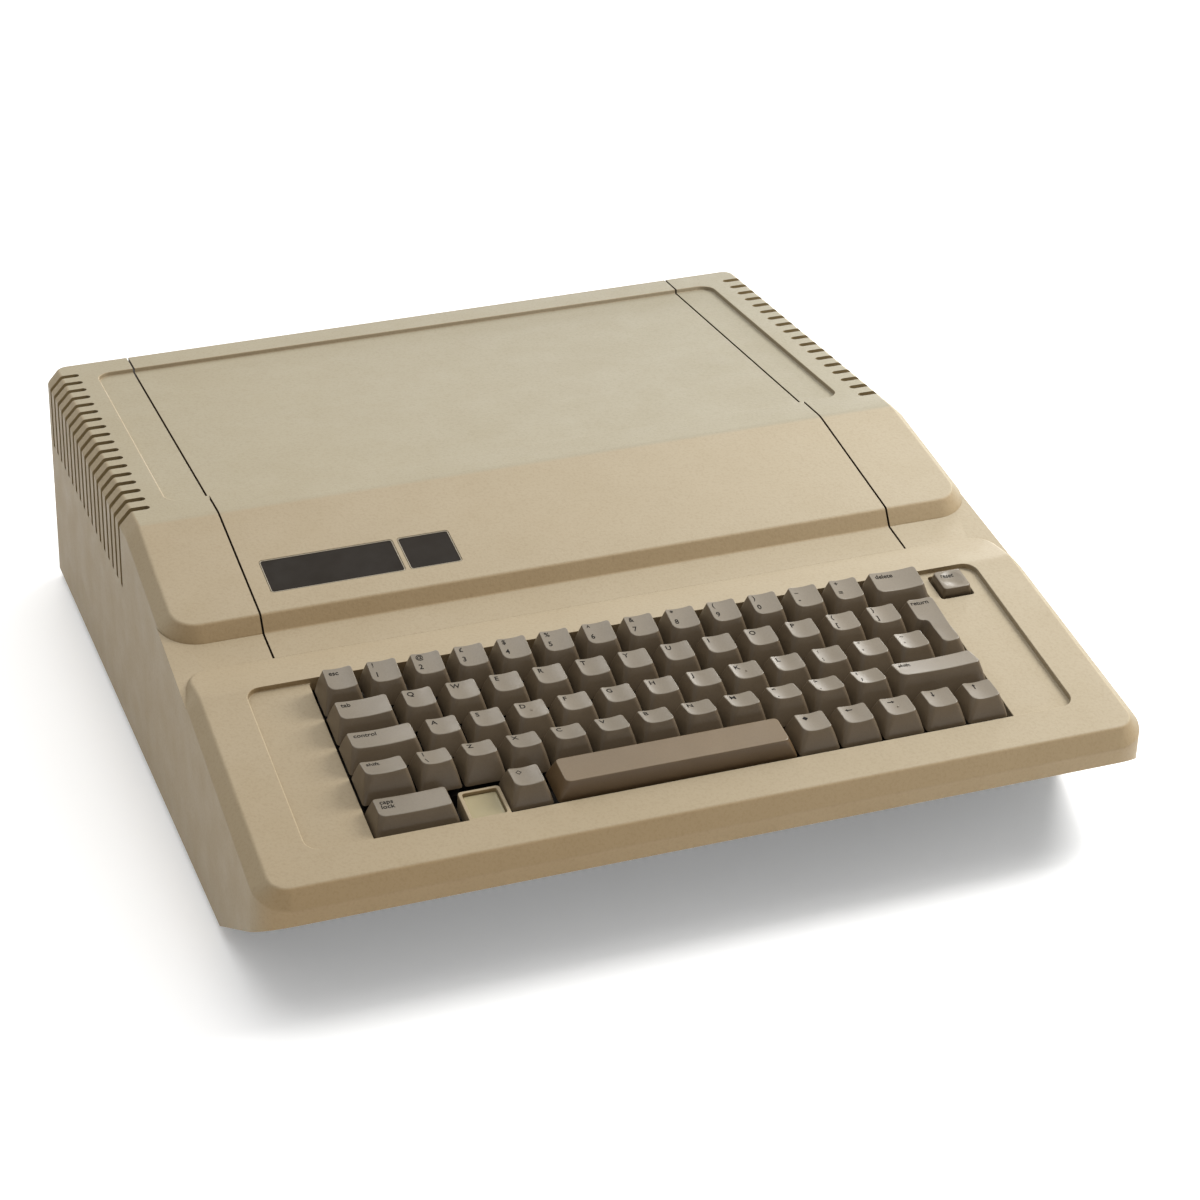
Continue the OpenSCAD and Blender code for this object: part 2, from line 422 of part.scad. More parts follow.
module lamp_holder() color(black) at() deck() difference() { box(-96.8, -85.2, 20.2, 32.6, plate_w - 5, -3.2); box(-94.8, -87.2, 22.2, 30.6, plate_w - 1.5, -2); }

upper_case();
lid();
badge_plate_large();
badge_plate_small();
lid_latches();
base_pan();
feet();
case_screws();
rear_panel();
port_covers();
psu_case();
power_inlet();
power_pins();
switch_housing();
power_rocker();
power_lead();
power_plug();
main_board();
board_standoffs();
card_slots();
aux_slot();
logic_chips();
memory_chips();
board_components();
video_jack();
cassette_jacks();
game_port();
speaker();
speaker_lead();
keyboard_plate();
keyboard_board();
keyboard_screws();
key_switches();
space_guides();
keyboard_ribbon();
ribbon_plug();
power_lamp();
lamp_holder();
keys_number_row();
keys_upper_row();
keys_home_row();
keys_lower_row();
key_escape();
key_delete();
key_tab();
key_return();
key_control();
key_shift_left();
key_shift_right();
key_caps_lock();
key_option_left();
key_space();
key_option_right();
key_arrow_left();
key_arrow_right();
key_arrow_down();
key_arrow_up();
key_reset();
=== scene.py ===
import bpy
import bmesh
import math
import random
from mathutils import Matrix, Vector


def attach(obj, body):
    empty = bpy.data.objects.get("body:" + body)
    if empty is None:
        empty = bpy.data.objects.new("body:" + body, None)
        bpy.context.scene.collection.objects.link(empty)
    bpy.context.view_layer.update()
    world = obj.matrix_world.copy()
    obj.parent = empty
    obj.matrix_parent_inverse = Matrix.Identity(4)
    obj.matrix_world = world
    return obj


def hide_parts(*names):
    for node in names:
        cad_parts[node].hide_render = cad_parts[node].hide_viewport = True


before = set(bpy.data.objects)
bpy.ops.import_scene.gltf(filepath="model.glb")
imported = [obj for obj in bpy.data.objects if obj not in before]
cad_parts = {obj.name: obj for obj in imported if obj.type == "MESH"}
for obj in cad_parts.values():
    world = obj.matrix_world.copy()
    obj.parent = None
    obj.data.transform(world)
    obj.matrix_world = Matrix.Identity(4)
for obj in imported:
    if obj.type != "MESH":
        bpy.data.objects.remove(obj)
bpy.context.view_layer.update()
scene = bpy.context.scene

# ------------------------------------------------------------------ dimensions, mm, y from the deck's front edge
Y_MID = 223.75
DECK_Z = 61.27
SLOPE = math.radians(12.7)
SN, CS = math.sin(SLOPE), math.cos(SLOPE)
CREASE_Y = 241.7
TOP_SLOPE = math.radians(12.57)
CASE_H = 114.0
REAR_Y = 450.5
WALL = 3.0
TOP_REC, DECK_REC = 2.2, 2.6
KX, PITCH = -138.84, 19.05
ROW_V = [105.7, 86.65, 67.6, 48.55, 29.5]
ROW_TOP = [(-4.84, 9.05, 7.4, 10.19), (-4.53, 8.44, 7.12, 8.01), (-3.96, 7.96, 7.4, 6.76), (-3.63, 9.92, 7.55, 7.07), (-4.44, 7.66, 7.1, 6.94)]
VENT_N, VENT_PITCH, VENT_W = 18, 10.35, 3.9
LID_W, LID_GAP = 294.2, 0.9


def half_at(z):
    return 194.0 - (z - 6.0) * 0.0353


def deck(x, v, w):
    """A point of the keyboard deck's own frame (x, up the slope, out of the deck) in the case's frame."""
    return (x, v * CS - w * SN, DECK_Z + v * SN + w * CS)


def on_slope(x, v, w):
    c, s = math.cos(TOP_SLOPE), math.sin(TOP_SLOPE)
    return (x, CREASE_Y + v * c - w * s, CASE_H + v * s + w * c)


# ------------------------------------------------------------------ mesh helpers, all in mm until place()
def mesh_object(name, verts, faces):
    me = bpy.data.meshes.new(name)
    me.from_pydata([tuple(v) for v in verts], [], faces)
    ob = bpy.data.objects.new(name, me)
    scene.collection.objects.link(ob)
    bm = bmesh.new()
    bm.from_mesh(me)
    bmesh.ops.recalc_face_normals(bm, faces=bm.faces)
    bm.to_mesh(me)
    bm.free()
    return ob


def prism(poly, axis, a, b, name="tmp", put=None):
    """Solid with the outline poly, running along axis from a to b. The outline is (y, z) along x, (x, z) along y and (x, y) along z."""
    n = len(poly)
    make = {"x": lambda t, p: (t, p[0], p[1]), "y": lambda t, p: (p[0], t, p[1]), "z": lambda t, p: (p[0], p[1], t)}[axis]
    pts = [make(a, p) for p in poly] + [make(b, p) for p in poly]
    if put:
        pts = [put(*p) for p in pts]
    faces = [tuple(range(n)), tuple(range(2 * n - 1, n - 1, -1))]
    faces += [(i, (i + 1) % n, n + (i + 1) % n, n + i) for i in range(n)]
    return mesh_object(name, pts, faces)


def block(x0, x1, y0, y1, z0, z1, put=None):
    return prism([(x0, y0), (x1, y0), (x1, y1), (x0, y1)], "z", z0, z1, put=put)


def rod(c, r, h, axis="z", n=24, put=None):
    """Cylinder of height h along axis, standing on the point c."""
    ring = [(r * math.cos(2 * math.pi * k / n), r * math.sin(2 * math.pi * k / n)) for k in range(n)]
    i = {"x": 0, "y": 1, "z": 2}[axis]
    a = [q for q in (0, 1, 2) if q != i]
    poly = [(c[a[0]] + p[0], c[a[1]] + p[1]) for p in ring]
    return prism(poly, axis, c[i], c[i] + h, put=put)


def rounded(x0, x1, y0, y1, r, n=8):
    """Outline of a rectangle with round corners."""
    out = []
    for cx, cy, a0 in ((x1 - r, y0 + r, -90), (x1 - r, y1 - r, 0), (x0 + r, y1 - r, 90), (x0 + r, y0 + r, 180)):
        for k in range(n + 1):
            a = math.radians(a0 + 90 * k / n)
            out.append((cx + r * math.cos(a), cy + r * math.sin(a)))
    return out


def join(objects):
    """One object that holds the meshes of all of them."""
    bm = bmesh.new()
    for o in objects:
        bm.from_mesh(o.data)
        bpy.data.objects.remove(o)
    me = bpy.data.meshes.new("tmp")
    bm.to_mesh(me)
    bm.free()
    ob = bpy.data.objects.new("tmp", me)
    scene.collection.objects.link(ob)
    return ob


def painted(ob, k):
    """Gives all faces the material number k of the case's list: 0 outside, 1 inside, 2 in the slots."""
    for m in case_materials():
        ob.data.materials.append(m)
    for p in ob.data.polygons:
        p.material_index = k
    return ob


def csg(a, b, op):
    m = a.modifiers.new("csg", "BOOLEAN")
    m.operation, m.object, m.solver = op, b, "MANIFOLD"
    bpy.context.view_layer.update()
    new = bpy.data.meshes.new_from_object(a.evaluated_get(bpy.context.evaluated_depsgraph_get()))
    if len(new.polygons) == 0:
        raise RuntimeError("an empty result from a solid operation")
    a.modifiers.clear()
    a.data = new
    bpy.data.objects.remove(b)
    return a


def cut(a, b):
    return csg(a, b, "DIFFERENCE")


def add(a, b):
    return csg(a, b, "UNION")


def common(a, b):
    return csg(a, b, "INTERSECT")


def tidy(ob, angle=0.2, merge=0.002):
    bm = bmesh.new()
    bm.from_mesh(ob.data)
    bmesh.ops.remove_doubles(bm, verts=bm.verts, dist=merge)
    bmesh.ops.dissolve_limit(bm, angle_limit=math.radians(angle), verts=bm.verts, edges=bm.edges, delimit={"MATERIAL"})
    bmesh.ops.dissolve_degenerate(bm, edges=bm.edges, dist=merge)
    bmesh.ops.recalc_face_normals(bm, faces=bm.faces)
    bm.to_mesh(ob.data)
    bm.free()
    return ob


def bevel(ob, pick, width, segments=2, least=25):
    """Rounds the edges that pick(middle, edge) chooses, if they are sharper than least degrees."""
    bm = bmesh.new()
    bm.from_mesh(ob.data)
    chosen = []
    for e in bm.edges:
        if len(e.link_faces) != 2:
            continue
        a = e.calc_face_angle_signed(0.0)
        if abs(a) > math.radians(least) and pick((e.verts[0].co + e.verts[1].co) / 2, e, a):
            chosen.append(e)
    if chosen:
        bmesh.ops.bevel(bm, geom=chosen, offset=width, offset_type="OFFSET", segments=segments, profile=0.5, affect="EDGES", clamp_overlap=True, loop_slide=True)
    bm.to_mesh(ob.data)
    bm.free()
    return ob


def place(ob, name, body, *nodes, sharp=32, slot=None, material=None, weighted=True):
    """Brings a finished mesh from mm into the shared frame, smooths it and hangs it on its body."""
    me = ob.data
    me.transform(Matrix.Translation((0, -Y_MID / 1000, 0)) @ Matrix.Scale(0.001, 4))
    ob.name = name
    me.name = name
    for p in me.polygons:
        p.use_smooth = True
    me.set_sharp_from_angle(angle=math.radians(sharp))
    if weighted:
        w = ob.modifiers.new("normals", "WEIGHTED_NORMAL")
        w.keep_sharp = True
        w.weight = 100
    if material:
        if not me.materials:
            me.materials.append(material)
    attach(ob, body)
    if nodes:
        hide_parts(*nodes)
    return ob


def fillet(path, at, n=4):
    """Rounds the polyline's inner points: at[i] is how far from point i the rounding starts."""
    path = [Vector(p) for p in path]
    out = [path[0]]
    for i in range(1, len(path) - 1):
        d = at[i] if i < len(at) else 0
        if not d:
            out.append(path[i])
            continue
        a = path[i] + (path[i - 1] - path[i]).normalized() * d
        b = path[i] + (path[i + 1] - path[i]).normalized() * d
        for k in range(n + 1):
            t = k / n
            out.append(a * (1 - t) ** 2 + path[i] * 2 * t * (1 - t) + b * t * t)
    out.append(path[-1])
    return out


def half_contour(half, front, r, ys, rear, rr_, n1=12, n2=6):
    """Left half of a plan outline, from the front to the rear. half(y) is the half width."""
    cx, cy = -half(front + r) + r, front + r
    pts = [(cx - r * math.sin(math.pi / 2 * k / n1), cy - r * math.cos(math.pi / 2 * k / n1), k / n1) for k in range(n1 + 1)]
    for y in ys:
        pts.append((-half(y), y, 1.0))
    cy = rear - rr_
    cx = -half(cy) + rr_
    pts += [(cx - rr_ * math.cos(math.pi / 2 * k / n2), cy + rr_ * math.sin(math.pi / 2 * k / n2), 1.0 + k / n2) for k in range(n2 + 1)]
    return pts


def smooth01(t):
    t = max(0.0, min(1.0, t))
    return t * t * (3 - 2 * t)


def shell(levels, z_of, roundings, n=4, name="tmp"):
    """Closed solid skinned over the plan outlines in levels. z_of(level, x, y, t) gives the height, and roundings the fillet distance at each level."""
    count = len(levels[0])
    lines = []
    for i in range(count):
        pts = [Vector((lv[i][0], lv[i][1], z_of(k, lv[i][0], lv[i][1], lv[i][2]))) for k, lv in enumerate(levels)]
        lines.append(fillet(pts, roundings, n))
    m = len(lines[0])
    verts, rows = [], []
    for j in range(m):
        row = []
        for i in range(count - 1, -1, -1):
            row.append(len(verts))
            verts.append(tuple(lines[i][j]))
        for i in range(count):
            p = lines[i][j]
            row.append(len(verts))
            verts.append((-p.x, p.y, p.z))
        rows.append(row)
    w = len(rows[0])
    faces = []
    for j in range(m - 1):
        for k in range(w):
            faces.append((rows[j][k], rows[j][(k + 1) % w], rows[j + 1][(k + 1) % w], rows[j + 1][k]))
    for row in (rows[0], rows[-1]):
        for k in range(count - 1):
            faces.append((row[k], row[k + 1], row[w - 2 - k], row[w - 1 - k]))
    return mesh_object(name, verts, faces)


# ------------------------------------------------------------------ the case's outer form
def deck_top(y):
    """Height of the keyboard platform, with a soft change of slope at its rear."""
    if y <= 116:
        return DECK_Z + 0.2253 * y
    if y < 120:
        t = (y - 116) / 4
        a, b = DECK_Z + 0.2253 * 116, 87.86 - (120 - 118) * 0.0726
        return (1 - t) ** 2 * a + 2 * t * (1 - t) * 87.86 + t * t * b
    return 87.86 - (y - 118) * 0.0726


def shelf_top(y):
    return 85.9 + (y - 145) * 0.2013


def upper_top(y):
    """Height of the raised rear part: the slope, a soft crease and the flat top."""
    if y <= CREASE_Y - 2.5:
        return CASE_H - (CREASE_Y - y) * math.tan(TOP_SLOPE)
    if y < CREASE_Y + 2.5:
        t = (y - (CREASE_Y - 2.5)) / 5
        return (1 - t) ** 2 * (CASE_H - 2.5 * math.tan(TOP_SLOPE)) + (2 * t * (1 - t) + t * t) * CASE_H
    return CASE_H


def low_bottom(y):
    return max(5.5, 45 - (y + 1.6) * 0.5367)


def platform():
    ys = [24, 40, 56, 72, 84, 96, 104, 110, 116, 117.3, 118.7, 120, 124, 128]
    rear = 146.6
    levels = [
        half_contour(lambda y: 180.0, 6, 3.0, [max(12.0, y - 1) for y in ys], rear - 6, 6),
        half_contour(lambda y: 186.0, 0, 8.0, ys, rear, 12),
        half_contour(lambda y: half_at(deck_top(y) - 6), -3, 15.0, ys, rear + 6, 17),
        half_contour(lambda y: half_at(low_bottom(y)), -1.6, 17.0, ys, rear + 6, 17),
    ]

    def z(k, x, y, t):
        if k <= 1:
            return deck_top(y)
        if k == 2:
            s = smooth01(min(t, 1.0))
            front, side = 52.5, deck_top(max(y, 0)) - 6.15
            if t > 1:
                side -= (t - 1) * 1.0
            return front * (1 - s) + side * s
        return low_bottom(y)

    return shell(levels, z, [0, 1.05, 0.75, 0], 5)


def base_block():
    """Side walls and shelf behind the platform."""
    prof = [(100, 76), (118, 79.2), (123, shelf_top(123)), (205, shelf_top(205)), (205, 5.5), (100, 5.5)]
    a = prism(prof, "x", -200, 200)
    return common(a, walls_prism(0.02, 90, 215))


def upper_block():
    ys = [186, 196, 206, 216, 226, 234, CREASE_Y - 2.5, CREASE_Y - 1.5, CREASE_Y - 0.5, CREASE_Y + 0.5, CREASE_Y + 1.5, CREASE_Y + 2.5, 250, 262, 300, 340, 380, 420, 436]
    levels = [
        half_contour(lambda y: 177.0, 172, 5.0, ys, REAR_Y - 6, 3),
        half_contour(lambda y: 185.0 - 0.6 * smooth01((y - 200) / 50), 166.4, 11.0, ys, REAR_Y, 5),
        half_contour(lambda y: half_at(upper_top(y) - 6), 162.4, 18.0, ys, REAR_Y, 7),
        half_contour(lambda y: half_at(5.5), 163.0, 20.0, ys, REAR_Y, 7),
    ]

    def z(k, x, y, t):
        if k <= 1:
            return upper_top(y)
        if k == 2:
            s = smooth01(min(t, 1.0))
            side = upper_top(max(y, 166.4)) - 6.1
            if t > 1:
                side = upper_top(y) - 6.1 + (t - 1) * 1.4
            return 89.4 * (1 - s) + side * s
        return 5.5

    return shell(levels, z, [0, 1.05, 0.75, 0], 5)


def flared(outline, depth, lift, rim, put, n=4, foot=0.0):
    """Cutter that opens upwards: a prism with a rounded lip where it meets the surface at height 0. outline(d) is the outline grown by d."""
    rings = []
    if foot:
        for k in range(n):
            a = math.pi / 2 * k / n
            rings.append((-foot * (1 - math.sin(a)), -depth + foot * (1 - math.cos(a))))
        rings.append((0.0, -depth + foot))
    else:
        rings.append((0.0, -depth))
    rings.append((0.0, -rim))
    for k in range(1, n + 1):
        a = math.pi / 2 * k / n
        rings.append((rim * (1 - math.cos(a)), -rim + rim * math.sin(a)))
    rings.append((rim, lift))
    verts, rows = [], []
    for grow, w in rings:
        row = []
        for x, y in outline(grow):
            row.append(len(verts))
            verts.append(put(x, y, w))
        rows.append(row)
    m = len(rows[0])
    faces = [tuple(reversed(rows[0])), tuple(rows[-1])]
    for j in range(len(rows) - 1):
        for k in range(m):
            faces.append((rows[j][k], rows[j][(k + 1) % m], rows[j + 1][(k + 1) % m], rows[j + 1][k]))
    return mesh_object("tmp", verts, faces)


def flat_top(x, y, w):
    return (x, y, CASE_H + w)


def top_recess_cutter():
    return flared(lambda d: rounded(-166.7 - 2.2 * d, 166.7 + d, 262 - d, 433.5 + d, 7.5 + d, 8), TOP_REC, 6, 0.4, flat_top, foot=0.4)


def deck_recess_cutter():
    return flared(lambda d: rounded(-166.8 - 2.2 * d, 167.2 + d, 18.66 - d, 120.8 + d, 6.5 + d, 8), DECK_REC, 6, 0.4, deck, foot=0.4)


def on_recess(x, v, w):
    """The deck's own frame, with w counted from the floor of its recess."""
    return deck(x, v, w - DECK_REC)


def key_well_cutter():
    return flared(lambda d: rounded(-139.0 - d, 139.8 + d, 18.66, 120.8, 1.2, 4), 26, 1.5, 0.35, on_recess)


def reset_well_cutter():
    return flared(lambda d: rounded(144.5 - d, 160.3 + d, 102.1 - d, 118.5 + d, 1.3 + d, 4), 26, 1.5, 0.35, on_recess)


def lamp_collar():
    """Raised surround of the lamp window, level with the deck, with its own rounded rim."""
    x0, x1, v0, v1 = -100.4, -82.6, 14.0, 35.6
    rings = [((x0, x1, v1), -8.0), ((x0, x1, v1), -0.35)]
    for k in range(1, 5):
        a = math.pi / 2 * k / 4
        g = 0.35 * (1 - math.cos(a))
        rings.append(((x0 + g, x1 - g, v1 - g), -0.35 + 0.346 * math.sin(a)))
    verts = []
    for (a0, a1, e), w in rings:
        q = rounded(a0, a1, v0, e, 1.4, 4)
        verts += [deck(p[0], max(p[1], v0), w) for p in q]
    n = len(q)
    faces = [tuple(reversed(range(n))), tuple(range((len(rings) - 1) * n, len(rings) * n))]
    faces += [(j * n + k, j * n + (k + 1) % n, (j + 1) * n + (k + 1) % n, (j + 1) * n + k) for j in range(len(rings) - 1) for k in range(n)]
    return mesh_object("tmp", verts, faces)


def vent_cutters():
    out = []
    for s in (-1, 1):
        for i in range(VENT_N):
            y = 259.4 + i * VENT_PITCH
            r = VENT_W / 2
            ring = [(s * 205, y - r), (s * (175.4 + r), y - r)]
            ring += [(s * (175.4 + r - r * math.sin(math.pi * k / 8)), y - r * math.cos(math.pi * k / 8)) for k in range(1, 8)]
            ring += [(s * (175.4 + r), y + r), (s * 205, y + r)]
            out.append(prism(ring, "z", 77, 125))
    return join(out)


def walls_prism(k, y0=-20, y1=480):
    return prism([(-half_at(0) + k, 0), (half_at(0) - k, 0), (half_at(140) - k, 140), (-half_at(140) + k, 140)], "y", y0, y1)


def edge45(a, k, y0, y1, put):
    c = a + 150 - k * 1.414
    d = a - 60 - k * 1.414
    return prism([(-c, -150), (c, -150), (d, 60), (-d, 60)], "y", y0, y1, put=put)


def deck_xyz(x, y, z):
    return deck(x, y, z)


def slope_xyz(x, y, z):
    return on_slope(x, y, z)


def low_cavity():
    a = prism([(1.5, 30), (0.3, 52.5), (2.6, 58.7), (118.4, 84.8), (143, 82.9), (166, 86.4), (205, 92), (205, 0), (60, 0)], "x", -220, 220)
    common(a, walls_prism(WALL))
    common(a, edge45(186, WALL, -60, 260, deck_xyz))
    return common(a, prism(rounded(-191.3, 191.3, 0, 260, 17, 8), "z", -5, 135))


def top_cavity():
    a = prism([(160, -5), (160, 86.4), (165.4, 87.2), (168.9, 94.7), (CREASE_Y + 0.3, 111), (470, 111), (470, -5)], "x", -220, 220)
    common(a, walls_prism(WALL))
    common(a, edge45(184.4, WALL, 100, 500, lambda x, y, z: (x, y, CASE_H + z)))
    common(a, edge45(184.4, WALL, -160, 260, slope_xyz))
    return common(a, prism(rounded(-191.3, 191.3, 165.4, 520, 21, 8), "z", -5, 135))


def build_case():
    body = add(painted(platform(), 0), painted(base_block(), 0))
    body = add(body, painted(upper_block(), 0))
    body = cut(body, painted(low_cavity(), 1))
    body = cut(body, painted(top_cavity(), 1))
    body = cut(body, painted(block(-143.4, 143.4, 149, 470, 60, 130), 1))
    body = add(body, painted(block(-170, 170, 14, 123.4, -6.9, -2.6, put=deck_xyz), 1))
    body = add(body, painted(prism([(258, CASE_H - TOP_REC - WALL), (258, 113.5), (437, 113.5), (437, CASE_H - TOP_REC - WALL)], "x", -170, 170), 1))
    led = [(144.5, 79.2), (164.6, 83.2), (169.9, 91.8), (CREASE_Y + 0.6, 108), (254, 108), (256, 105.8), (430, 105.8), (430, 108.4), (258.1, 108.4), (258.1, 110.6), (CREASE_Y + 0.3, 110.6), (168.5, 94.3), (164, 86), (144.5, 82.4)]
    for s in (-1, 1):
        body = add(body, painted(prism(led, "x", 143.4 if s > 0 else -150.5, 150.5 if s > 0 else -143.4), 1))
    body = add(body, painted(prism([(140, 80), (150, 80), (150, 82.7), (145, 82.7), (144.8, 83.5), (140, 83.7)], "x", -150.5, 150.5), 1))
    extra = []
    for x in (-146, 166):
        for v in (30, 104):
            extra.append(rod((x, v, -13), 3.4, 9.5, put=deck_xyz))
    for s in (-1, 1):
        for y in (95, 250, 425):
            extra.append(rod((s * 182, y, 8.2), 4.2, 28))
    for e in extra:
        body = add(body, painted(e, 1))
    for s in (-1, 1):
        for y in (95, 250, 425):
            body = add(body, painted(block(min(s * 182, s * 191), max(s * 182, s * 191), y - 1.2, y + 1.2, 12, 36), 1))
    # openings
    gap = LID_W / 2 + LID_GAP
    # the opening's cut faces take the dark seam plastic: painted shade in the gap
    body = cut(body, painted(prism([(145, 82.9), (163.8, 86.2), (168.6, 94.5), (CREASE_Y + 0.3, 110.7), (258.1, 110.7), (258.1, 108.5), (437, 108.5), (437, 110.7), (447, 110.7), (447, 60), (470, 60), (470, 130), (145, 130)], "x", -gap, gap), 3))
    body = cut(body, painted(top_recess_cutter(), 0))
    body = cut(body, painted(deck_recess_cutter(), 0))
    body = cut(body, painted(key_well_cutter(), 0))
    body = add(body, painted(lamp_collar(), 0))
    body = cut(body, painted(flared(lambda d: rounded(-98.9 - d, -84.1 + d, 19.2 - d, 34.2 + d, 1.1 + d, 4), 30, 3, 0.3, deck), 0))
    body = cut(body, painted(reset_well_cutter(), 0))
    body = cut(body, painted(vent_cutters(), 2))
    holes = []
    for s in (-1, 1):
        for y in (95, 250, 425):
            holes.append(rod((s * 182, y, 5), 1.5, 22))
    body = cut(body, painted(join(holes), 1))
    return tidy(body)



# ------------------------------------------------------------------ materials
SHADE = 0.885


def linear(c):
    """Linear colour of an sRGB triple, brought down to where a white sheet beside it is fully white."""
    return tuple(SHADE * ((v / 255 / 12.92) if v / 255 <= 0.04045 else ((v / 255 + 0.055) / 1.055) ** 2.4) for v in c) + (1.0,)


def scaled(c, k):
    return tuple(min(1.0, v * k) for v in c[:3]) + (1.0,)


class Mat:
    """A node material under construction. All textures read object coordinates, in metres."""

    def __init__(self, name):
        self.m = bpy.data.materials.new(name)
        self.m.use_nodes = True
        self.t = self.m.node_tree
        self.b = self.t.nodes["Principled BSDF"]
        self.tc = self.n("ShaderNodeTexCoord")

    def n(self, kind, **kw):
        node = self.t.nodes.new(kind)
        for k, v in kw.items():
            setattr(node, k, v)
        return node

    def link(self, a, b):
        self.t.links.new(a, b)

    def coords(self, stretch=None):
        if not stretch:
            return self.tc.outputs["Object"]
        mp = self.n("ShaderNodeMapping")
        mp.inputs["Scale"].default_value = stretch
        self.link(self.tc.outputs["Object"], mp.inputs["Vector"])
        return mp.outputs["Vector"]

    def noise(self, scale, detail=2.0, rough=0.5, stretch=None, kind="ShaderNodeTexNoise"):
        x = self.n(kind)
        x.inputs["Scale"].default_value = scale
        x.inputs["Detail"].default_value = detail
        x.inputs["Roughness"].default_value = rough
        self.link(self.coords(stretch), x.inputs["Vector"])
        return x.outputs[0]

    def ramp(self, fac, stops, interpolation="LINEAR"):
        r = self.n("ShaderNodeValToRGB")
        e = r.color_ramp.elements
        r.color_ramp.interpolation = interpolation
        e[0].position, e[0].color = stops[0][0], stops[0][1]
        e[1].position, e[1].color = stops[-1][0], stops[-1][1]
        for p, c in stops[1:-1]:
            x = e.new(p)
            x.color = c
        self.link(fac, r.inputs["Fac"])
        return r.outputs["Color"]

    def math(self, op, a, b=None, clamp=False):
        x = self.n("ShaderNodeMath", operation=op, use_clamp=clamp)
        for i, v in enumerate((a, b)):
            if v is None:
                continue
            if isinstance(v, (int, float)):
                x.inputs[i].default_value = v
            else:
                self.link(v, x.inputs[i])
        return x.outputs[0]

    def mix(self, fac, a, b, blend="MIX"):
        x = self.n("ShaderNodeMix", data_type="RGBA", blend_type=blend)
        for i, v in ((0, fac), (6, a), (7, b)):
            if isinstance(v, (int, float, tuple)):
                x.inputs[i].default_value = v
            else:
                self.link(v, x.inputs[i])
        return x.outputs[2]

    def span(self, fac, lo, hi, a=0.0, b=1.0):
        x = self.n("ShaderNodeMapRange")
        for i, v in ((1, lo), (2, hi), (3, a), (4, b)):
            x.inputs[i].default_value = v
        self.link(fac, x.inputs[0])
        return x.outputs[0]

    def xyz(self):
        s = self.n("ShaderNodeSeparateXYZ")
        self.link(self.tc.outputs["Object"], s.inputs[0])
        return s.outputs

    def bump(self, height, depth, strength=1.0, after=None):
        x = self.n("ShaderNodeBump")
        x.inputs["Strength"].default_value = strength
        x.inputs["Distance"].default_value = depth
        self.link(height, x.inputs["Height"])
        if after is not None:
            self.link(after, x.inputs["Normal"])
        return x.outputs["Normal"]

    def finish(self, color, rough=None, normal=None, metallic=0.0, roughness=0.5, specular=0.5, coat=0.0, coat_rough=0.1, sheen=0.0):
        b = self.b
        if isinstance(color, tuple):
            b.inputs["Base Color"].default_value = color
        else:
            self.link(color, b.inputs["Base Color"])
        b.inputs["Roughness"].default_value = roughness
        if rough is not None:
            self.link(rough, b.inputs["Roughness"])
        if normal is not None:
            self.link(normal, b.inputs["Normal"])
        b.inputs["Metallic"].default_value = metallic
        b.inputs["Specular IOR Level"].default_value = specular
        b.inputs["Coat Weight"].default_value = coat
        b.inputs["Coat Roughness"].default_value = coat_rough
        self.m.diffuse_color = color if isinstance(color, tuple) else (0.5, 0.5, 0.5, 1)
        return self.m


def simple(name, color, rough=0.5, metallic=0.0, tint=0.12, scale=18.0, grain=0.8, depth=0.00002, specular=0.5, coat=0.0, stretch=None, wear=0.0):
    """Moulded or sheet material: a soft tint, a little wear and a fine grain of the given size in mm."""
    m = Mat(name)
    c = linear(color)
    big = m.noise(scale, 4.0, 0.6, stretch)
    col = m.ramp(big, [(0.3, scaled(c, 1 - tint)), (0.7, scaled(c, 1 + tint))])
    fine = m.noise(1000.0 / grain, 2.0, 0.55, stretch)
    if wear:
        spots = m.ramp(m.noise(420.0, 5.0, 0.65), [(0.62, (0, 0, 0, 1)), (0.74, (1, 1, 1, 1))])
        col = m.mix(m.math("MULTIPLY", spots, wear), col, scaled(c, 0.55))
    r = m.span(m.noise(scale * 3.1, 3.0), 0.3, 0.7, max(0.05, rough - 0.07), min(1.0, rough + 0.07))
    return m.finish(col, r, m.bump(fine, depth), metallic=metallic, specular=specular, coat=coat)


